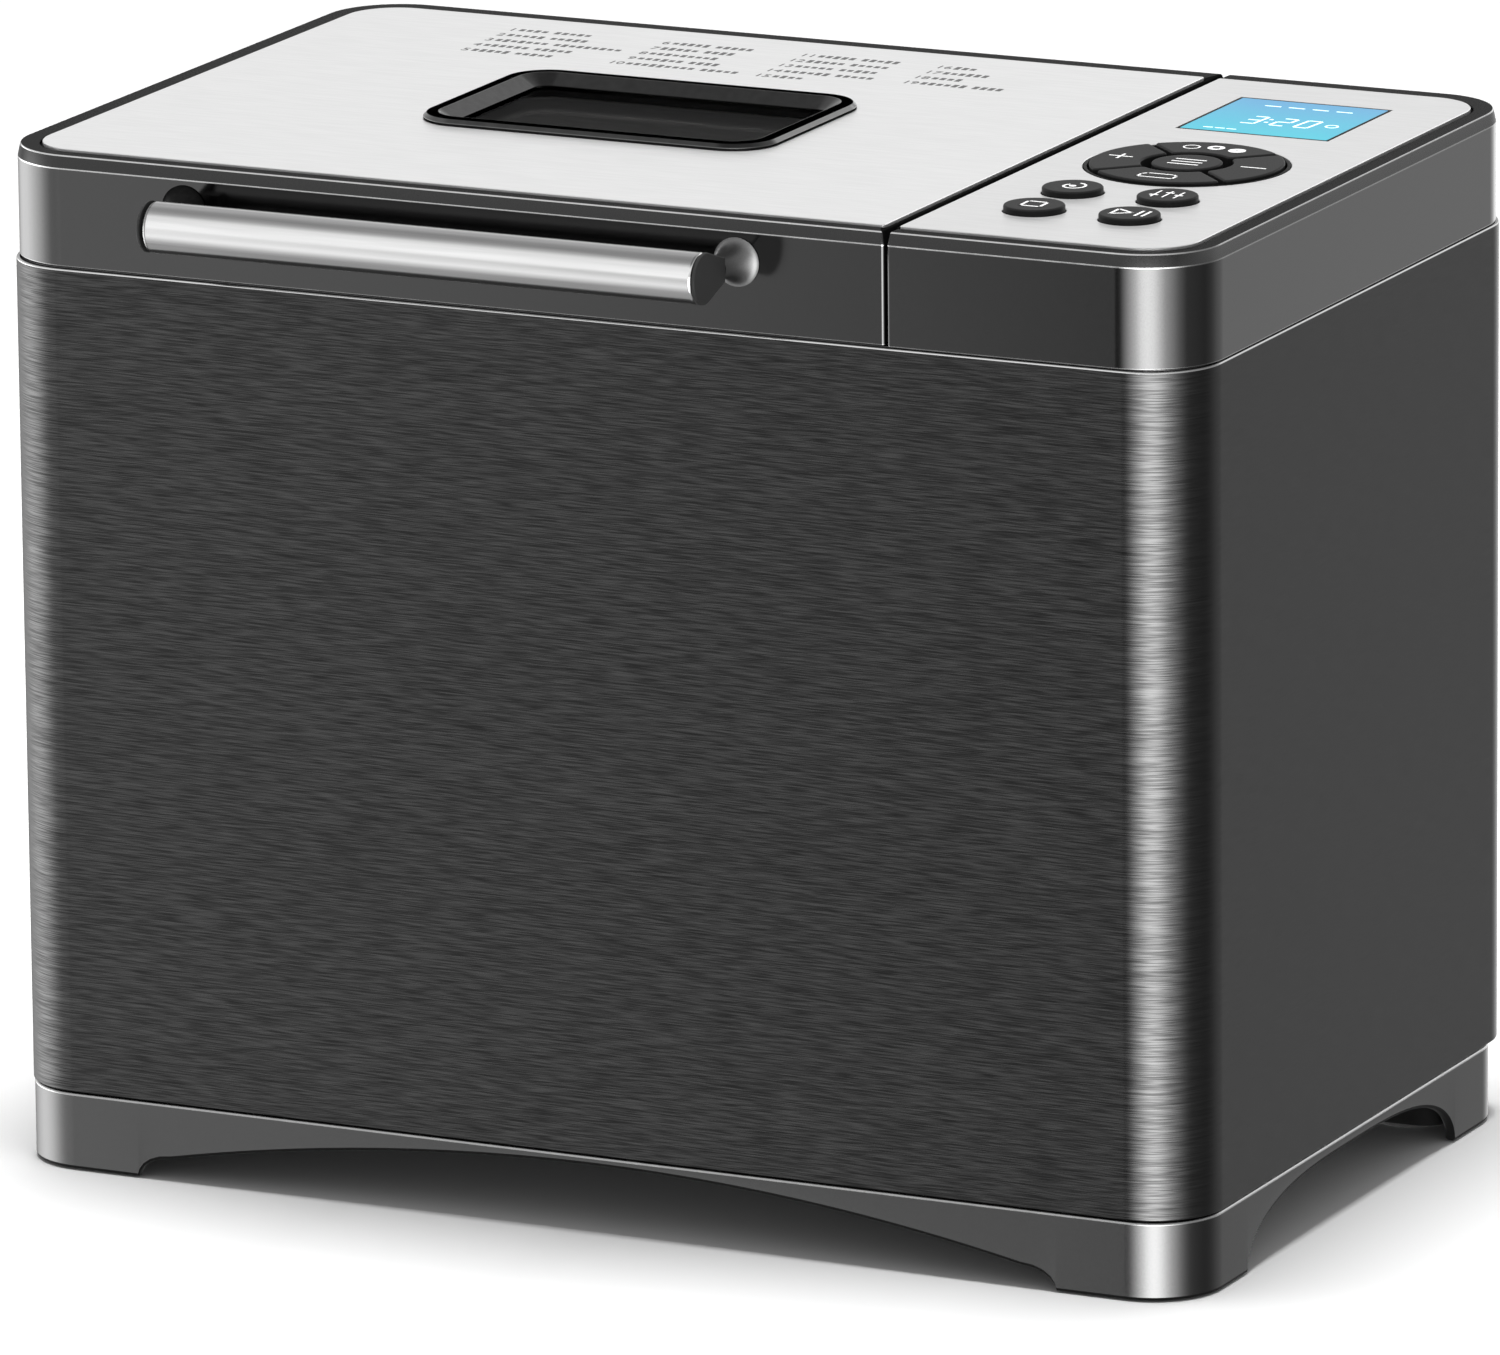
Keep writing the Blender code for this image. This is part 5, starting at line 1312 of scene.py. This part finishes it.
def oven():
    """Pressed chamber with its flange, its floor hole and the holes of its right wall."""
    low, top = CHAMBER[4], CHAMBER[5]
    flange = top - 0.0012
    corners = ((0.012, low, 0), (-OVEN_SHEET, low, 0.0058), (-OVEN_SHEET, flange, 0),
               (-0.009, flange, 0), (-0.009, top, 0.0003), (0.0, top, 0.0011),
               (0.0, low + OVEN_SHEET, 0.005), (0.012, low + OVEN_SHEET, 0))
    shell = ring_of(about(OVEN_CENTRE, OVEN_HALF), 0.020, corners, steps=12)
    shell = cut(shell, prism(circle(OVEN_CENTRE, 0.0155), 0.08, 0.10))
    for y in (-LEG_Y, LEG_Y):
        shell = cut(shell, wall_hole(y, ELEMENT_Z, 0.0058))
    sensor = middle("temperature_sensor")
    shown_for("oven_chamber", cut(shell, wall_hole(sensor.y, sensor.z, 0.0030)), CHAMBER_STEEL)
    low, high = edges("pan_seat")[4:]
    flange = low + 0.0014
    corners = ((0.0460, low, 0), (0.0460, flange, 0.0006), (0.0412, flange, 0.0006), (0.0412, high, 0.0006),
               (0.0384, high, 0.0006), (0.0384, low, 0))
    shown_for("pan_seat", turned(corners, OVEN_CENTRE, True, 72), CAST)
    tip, flange, cap = 0.0480, 0.0614, 0.0740
    back = flange + 0.0036
    corners = ((0.0002, tip, 0), (0.0025, tip, 0.0014), (0.0025, flange, 0), (0.0055, flange, 0.0003),
               (0.0055, back, 0.0003), (0.0030, back, 0), (0.0030, cap, 0.0005), (0.0002, cap, 0))
    shown_for("temperature_sensor", turned_on("x", corners, (sensor.y, sensor.z), sides=32), SATIN_STEEL)
    for word in ("front", "rear"):
        node = "terminal_bushing_" + word
        start, wall, shoulder, end = 0.0575, 0.0613, 0.0640, 0.0690
        hole, sleeve, rim = 0.0036, 0.0055, 0.0080
        corners = ((sleeve, start, 0.0005), (sleeve, wall, 0), (rim, wall, 0.0003), (rim, shoulder, 0.0005),
                   (sleeve, shoulder, 0), (sleeve, end, 0.0005), (hole, end, 0), (hole, start, 0))
        shown_for(node, turned_on("x", corners, (middle(node).y, ELEMENT_Z), True, 40), CERAMIC)


def heating_element():
    """Sheathed tube bent once round the oven, its two legs leaving through the right wall."""
    half = (OVEN_HALF[0] - 0.010, OVEN_HALF[1] - 0.010)
    steps = 12
    loop = rounded_rect(about(OVEN_CENTRE, half), 0.018, 0.0, steps)
    corner = steps + 1
    leg_x = OVEN_X + half[0]
    bend = 0.008
    start = [(0.0720, LEG_Y)] + arc((leg_x + bend, LEG_Y + bend), bend, 270, 180, 8)
    end = [(x, -y) for x, y in reversed(start)]
    path = [Vector((x, y, ELEMENT_Z)) for x, y in start + loop[2 * corner:] + loop[:2 * corner] + end]
    shown_for("heating_element", tube(path, ELEMENT_RADIUS, 20), ELEMENT, sharp=60)


def pan():
    """Coated pan with a rolled rim, two ears and the bearing ring below."""
    low, rim = PAN[4], PAN[5]
    bounds = about(OVEN_CENTRE, (0.0820, 0.0600))
    roll = 0.0030
    corners = ((0.016, low, 0), (PAN_TAPER, low, 0.005), (0.0, rim - roll, 0.0004),
               (-roll, rim - roll, 0.0009), (-roll, rim, 0.0016), (PAN_WALL, rim, 0.0012),
               (PAN_TAPER + PAN_WALL, low + PAN_WALL, 0.006), (0.016, low + PAN_WALL, 0))
    shell = ring_of(bounds, 0.025, corners, steps=14, rounding=6)
    for side in (-1, 1):
        near, far = sorted((OVEN_X + side * 0.0808, OVEN_X + side * 0.0854))
        ear = block(near, far, -0.008, 0.008, BAIL_Z, rim - 0.0020)
        shell = join(shell, join(ear, rod("x", 0.008, near, far, (0.0, BAIL_Z), 40)))
        near, far = sorted((OVEN_X + side * 0.0826, OVEN_X + side * 0.09))
        shell = cut(shell, rod("x", BAIL_RADIUS + GAP, near, far, (0.0, BAIL_Z), 32))
    shell = cut(shell, prism(circle(OVEN_CENTRE, 0.0093), 0.10, 0.12))
    shown_for("bread_pan", shell, COATING, "pan")
    low, high = edges("pan_base_ring")[4:]
    flange = high - 0.0017
    corners = ((0.0376, low, 0.0005), (0.0376, flange, 0.0004), (0.0420, flange, 0.0004),
               (0.0420, high, 0.0003), (0.0340, high, 0), (0.0340, low, 0.0005))
    shown_for("pan_base_ring", turned(corners, OVEN_CENTRE, True, 72), CAST, "pan")
    low, high = edges("pan_bushing")[4:]
    below_pan = PAN[4] - GAP
    bore = SHAFT_RADIUS + GAP
    corners = ((0.0130, low, 0.0005), (0.0130, below_pan, 0), (0.0090, below_pan, 0), (0.0090, high, 0.0006),
               (bore, high, 0.0003), (bore, low, 0))
    shown_for("pan_bushing", turned(corners, OVEN_CENTRE, True), CAST, "pan")


def bail():
    """Wire handle folded down to the front, its tips in the pan's ears."""
    arm = 0.0890
    lift = math.radians(10)
    small, large = 0.003, 0.009
    side = [(0.0828, 0.0)] + arc((arm - small, small), small, -90, 0, 6)
    side += arc((arm - large, BAIL_REACH - large), large, 0, 90, 10)
    path = side + [(-x, reach) for x, reach in reversed(side)]
    points = []
    for x, reach in path:
        points.append(Vector((OVEN_X + x, -reach * math.cos(lift), BAIL_Z + reach * math.sin(lift))))
    shown_for("bail_handle", tube(points, BAIL_RADIUS), STEEL_AND_HEM_HIGHLIGHT, "bail", 60)


def paddle():
    """Hub with one swept blade, on the shaft through the pan's floor."""
    low, high = edges("kneading_paddle")[4:]
    blade_top = 0.1400
    corners = ((0.0005, low, 0), (0.0085, low, 0.0006), (0.0070, blade_top, 0.004), (0.0050, high, 0.0012),
               (0.0005, high, 0))
    hub = turned(corners, OVEN_CENTRE)
    blade = []
    steps = 14
    for step in range(steps + 1):
        share = step / steps
        reach = 0.004 + 0.035 * share
        half = 0.0030 - 0.0018 * share ** 2
        top = blade_top - 0.0170 * share ** 1.8
        lean = reach * 0.22
        blade.append([(OVEN_X + reach, lean - half, low), (OVEN_X + reach, lean + half, low),
                      (OVEN_X + reach, lean + half * 0.5, top), (OVEN_X + reach, lean, top + 0.0005),
                      (OVEN_X + reach, lean - half * 0.5, top)])
    whole = join(hub, loft(blade))
    bore = prism(circle(OVEN_CENTRE, SHAFT_RADIUS + GAP), 0.11, 0.1450 + GAP)
    shown_for("kneading_paddle", cut(whole, bore), COATING, "paddle")
    start, end = edges("paddle_shaft")[4:]
    foot = start + 0.0015
    corners = ((0.0002, foot, 0), (SHAFT_RADIUS, foot, 0), (SHAFT_RADIUS, end, 0.0010), (0.0002, end, 0))
    wing = block(OVEN_X - 0.0090, OVEN_X + 0.0090, -0.0025, 0.0025, start, start + 0.0042)
    shown_for("paddle_shaft", join(turned(corners, OVEN_CENTRE), wing), SATIN_STEEL, "paddle")


def lid_inside():
    """Pressed liner under the lid and the seal round it."""
    bounds = about(OVEN_CENTRE, (0.110, 0.088))
    opening_bounds = about(WINDOW, (0.0470, 0.0270))
    low, _ = edges("lid_liner")[4:]
    sheet = 0.0008
    ceiling = 0.2800

    radius, steps = 0.026, 12
    window_edge = rounded_rect(opening_bounds, 0.008, 0.0, steps)

    def flange(inset, z):
        return level(rounded_rect(bounds, radius, inset, steps), z)

    outside = [(0.0095, low + sheet), (0.0106, low + 0.0013), (0.0150, ceiling - 0.0012),
               (0.0175, ceiling + sheet)]
    inside = [(0.0185, ceiling), (0.0160, ceiling - 0.0020), (0.0116, low + 0.0006), (0.0108, low)]
    loops = [flange(0.0, low), flange(0.0, low + sheet)] + [flange(*place) for place in outside]
    loops += [level(window_edge, ceiling + sheet), level(window_edge, ceiling)]
    loops += [flange(*place) for place in inside]
    shown_for("lid_liner", loft(loops, True), SATIN_STEEL, "lid")
    low, high = edges("lid_seal")[4:]
    corners = ((0.0, low, 0.0012), (0.0, high, 0.0006), (0.006, high, 0.0006), (0.006, low, 0.0012))
    seal = ring_of(about(OVEN_CENTRE, (0.1075, 0.0855)), 0.024, corners, True, steps=12)
    shown_for("lid_seal", seal, SILICONE, "lid")


# ---------------------------------------------------------------- light, floor and camera
def floor():
    shape = bmesh.new()
    bmesh.ops.create_grid(shape, x_segments=2, y_segments=2, size=12.0)
    mesh = mesh_of("floor", shape)
    mesh.materials.append(surface("floor_white", 0.86, 0.87, 0.0, (0.85, 0.9), 2, specular=0.0))
    item = placed("floor", mesh)
    item.visible_glossy = False


def azimuth_ramp(tree, share, stops):
    """Grey ramp over the compass, from (degrees, radiance) stops between -180 and 180."""
    ramp = tree.nodes.new("ShaderNodeValToRGB")
    ramp.color_ramp.interpolation = "LINEAR"
    elements = ramp.color_ramp.elements
    while len(elements) > 1:
        elements.remove(elements[-1])
    for index, (degrees, value) in enumerate(stops):
        place = (degrees + 180) / 360
        element = elements[0] if index == 0 else elements.new(place)
        element.position = place
        element.color = (*grey(value / ROOM_GAIN), 1)
    tree.links.new(share, ramp.inputs["Fac"])
    return ramp.outputs["Color"]


# radiance round the room, by degrees from straight in front, positive to the right
ROOM_GAIN = 10.0                # ramps hold no more than 1, so the strength makes up for it
LOW_BAND = ((-180, 1.9), (-146, 0.35), (-130, 1.0), (-116, 2.6), (-96, 5.0), (-86, 5.3), (-76, 4.8),
            (-66, 3.8), (-56, 2.3), (-46, 1.2), (-38, 1.1), (-29, 1.25), (-25.9, 1.0), (-24.7, 0.40),
            (-20.5, 0.08), (-15, 0.25), (-9, 1.6), (-2, 3.3), (7, 5.6), (15, 8.8), (23, 9.9), (32, 9.0),
            (40, 6.3), (49, 3.5), (58, 2.3), (68, 1.1), (80, 0.35), (112, 0.22), (124, 0.35), (138, 0.70),
            (159, 0.84), (180, 1.9))
MIDDLE_BAND = ((-180, 0.7), (-154, 0.65), (-120, 0.8), (-90, 1.2), (-50, 1.1), (-26, 1.15), (0, 0.95),
               (24, 0.72), (50, 0.68), (90, 0.5), (130, 0.7), (146, 0.7), (158, 2.4), (172, 2.2), (180, 0.7))
UPPER_BAND = ((-180, 0.38), (-120, 0.45), (-80, 0.8), (-26, 1.0), (40, 1.0), (80, 0.6), (120, 0.4),
              (180, 0.38))
ZENITH = 0.16
NADIR = 0.35
FILL = 0.38                     # even light on matt surfaces
BACKDROP = 0.95
OVERHEAD_SIZE = 1.15
OVERHEAD_POWER = 122.0
OVERHEAD_HEIGHT = 3.0

CAMERA_PLACE = (1.7792, -3.68705, 1.1552)
CAMERA_ANGLES = (25.748, 14.0016, -0.5469)      # azimuth, elevation and roll, in degrees
CAMERA_LENS = 363.69


def room():
    """World light: soft tall panels round a dim room, told apart by direction."""
    world = bpy.data.worlds.new("studio")
    bpy.context.scene.world = world
    world.use_nodes = True
    tree = world.node_tree
    background = tree.nodes["Background"]
    toward = position(tree, "Generated")
    forward = math_node(tree, "MULTIPLY", toward["Y"], -1.0)
    azimuth = math_node(tree, "ARCTAN2", toward["X"], forward)
    share = math_node(tree, "ADD", math_node(tree, "DIVIDE", azimuth, math.tau), 0.5)
    colour = azimuth_ramp(tree, share, LOW_BAND)
    layers = ((azimuth_ramp(tree, share, MIDDLE_BAND), 0.02, 0.16),
              (azimuth_ramp(tree, share, UPPER_BAND), 0.32, 0.60), (ZENITH / ROOM_GAIN, 0.76, 0.93),
              (NADIR / ROOM_GAIN, -0.45, -0.80))
    for layer, start, end in layers:
        if start >= 0:
            factor = spread(tree, toward["Z"], 0.0, 1.0, start, end)
        else:
            factor = spread(tree, toward["Z"], 1.0, 0.0, end, start)
        colour = blend_colour(tree, factor, colour, layer)
    rays = tree.nodes.new("ShaderNodeLightPath")
    open_room = blend_colour(tree, rays.outputs["Is Diffuse Ray"], BACKDROP / ROOM_GAIN, FILL / ROOM_GAIN)
    colour = blend_colour(tree, rays.outputs["Is Glossy Ray"], open_room, colour)
    tree.links.new(colour, background.inputs["Color"])
    background.inputs["Strength"].default_value = ROOM_GAIN


def overhead_light():
    light = bpy.data.lights.new("overhead", "AREA")
    light.shape = "SQUARE"
    light.size = OVERHEAD_SIZE
    light.energy = OVERHEAD_POWER
    item = placed("overhead", light)
    item.location = (0.0, 0.0, OVERHEAD_HEIGHT)
    item.visible_glossy = False


def camera():
    azimuth, elevation, roll = (math.radians(angle) for angle in CAMERA_ANGLES)
    ahead = Vector((-math.sin(azimuth) * math.cos(elevation), math.cos(azimuth) * math.cos(elevation),
                    -math.sin(elevation)))
    right = ahead.cross(Vector((0, 0, 1))).normalized()
    up = right.cross(ahead)
    across = right * math.cos(roll) + up * math.sin(roll)
    above = up * math.cos(roll) - right * math.sin(roll)
    data = bpy.data.cameras.new("camera")
    data.lens = CAMERA_LENS
    data.sensor_width = 36.0
    data.clip_end = 60.0
    item = placed("camera", data)
    turn = Matrix((across, above, -ahead)).transposed().to_4x4()
    item.matrix_world = Matrix.Translation(CAMERA_PLACE) @ turn
    bpy.context.scene.camera = item
    bpy.context.scene.view_settings.view_transform = "Standard"


# ---------------------------------------------------------------- build
camera()
finish_cad_nodes()
body_wrap()
base()
lid_frame()
deck_and_box()
plates()
window()
dish()
for key_name, key_angle in ARC_KEYS.items():
    arc_key(key_name, key_angle)
round_cap("menu_key", PAD_CENTRE, MENU_RADIUS, KEY_TOP)
for key_name, key_place in ROUND_KEYS.items():
    round_cap(key_name, key_place, ROUND_KEY_RADIUS, ROUND_KEY_TOP)
key_marks()
display()
programme_list()
handle()
hinges()
rear()
feet()
oven()
heating_element()
pan()
bail()
paddle()
lid_inside()
floor()
room()
overhead_light()
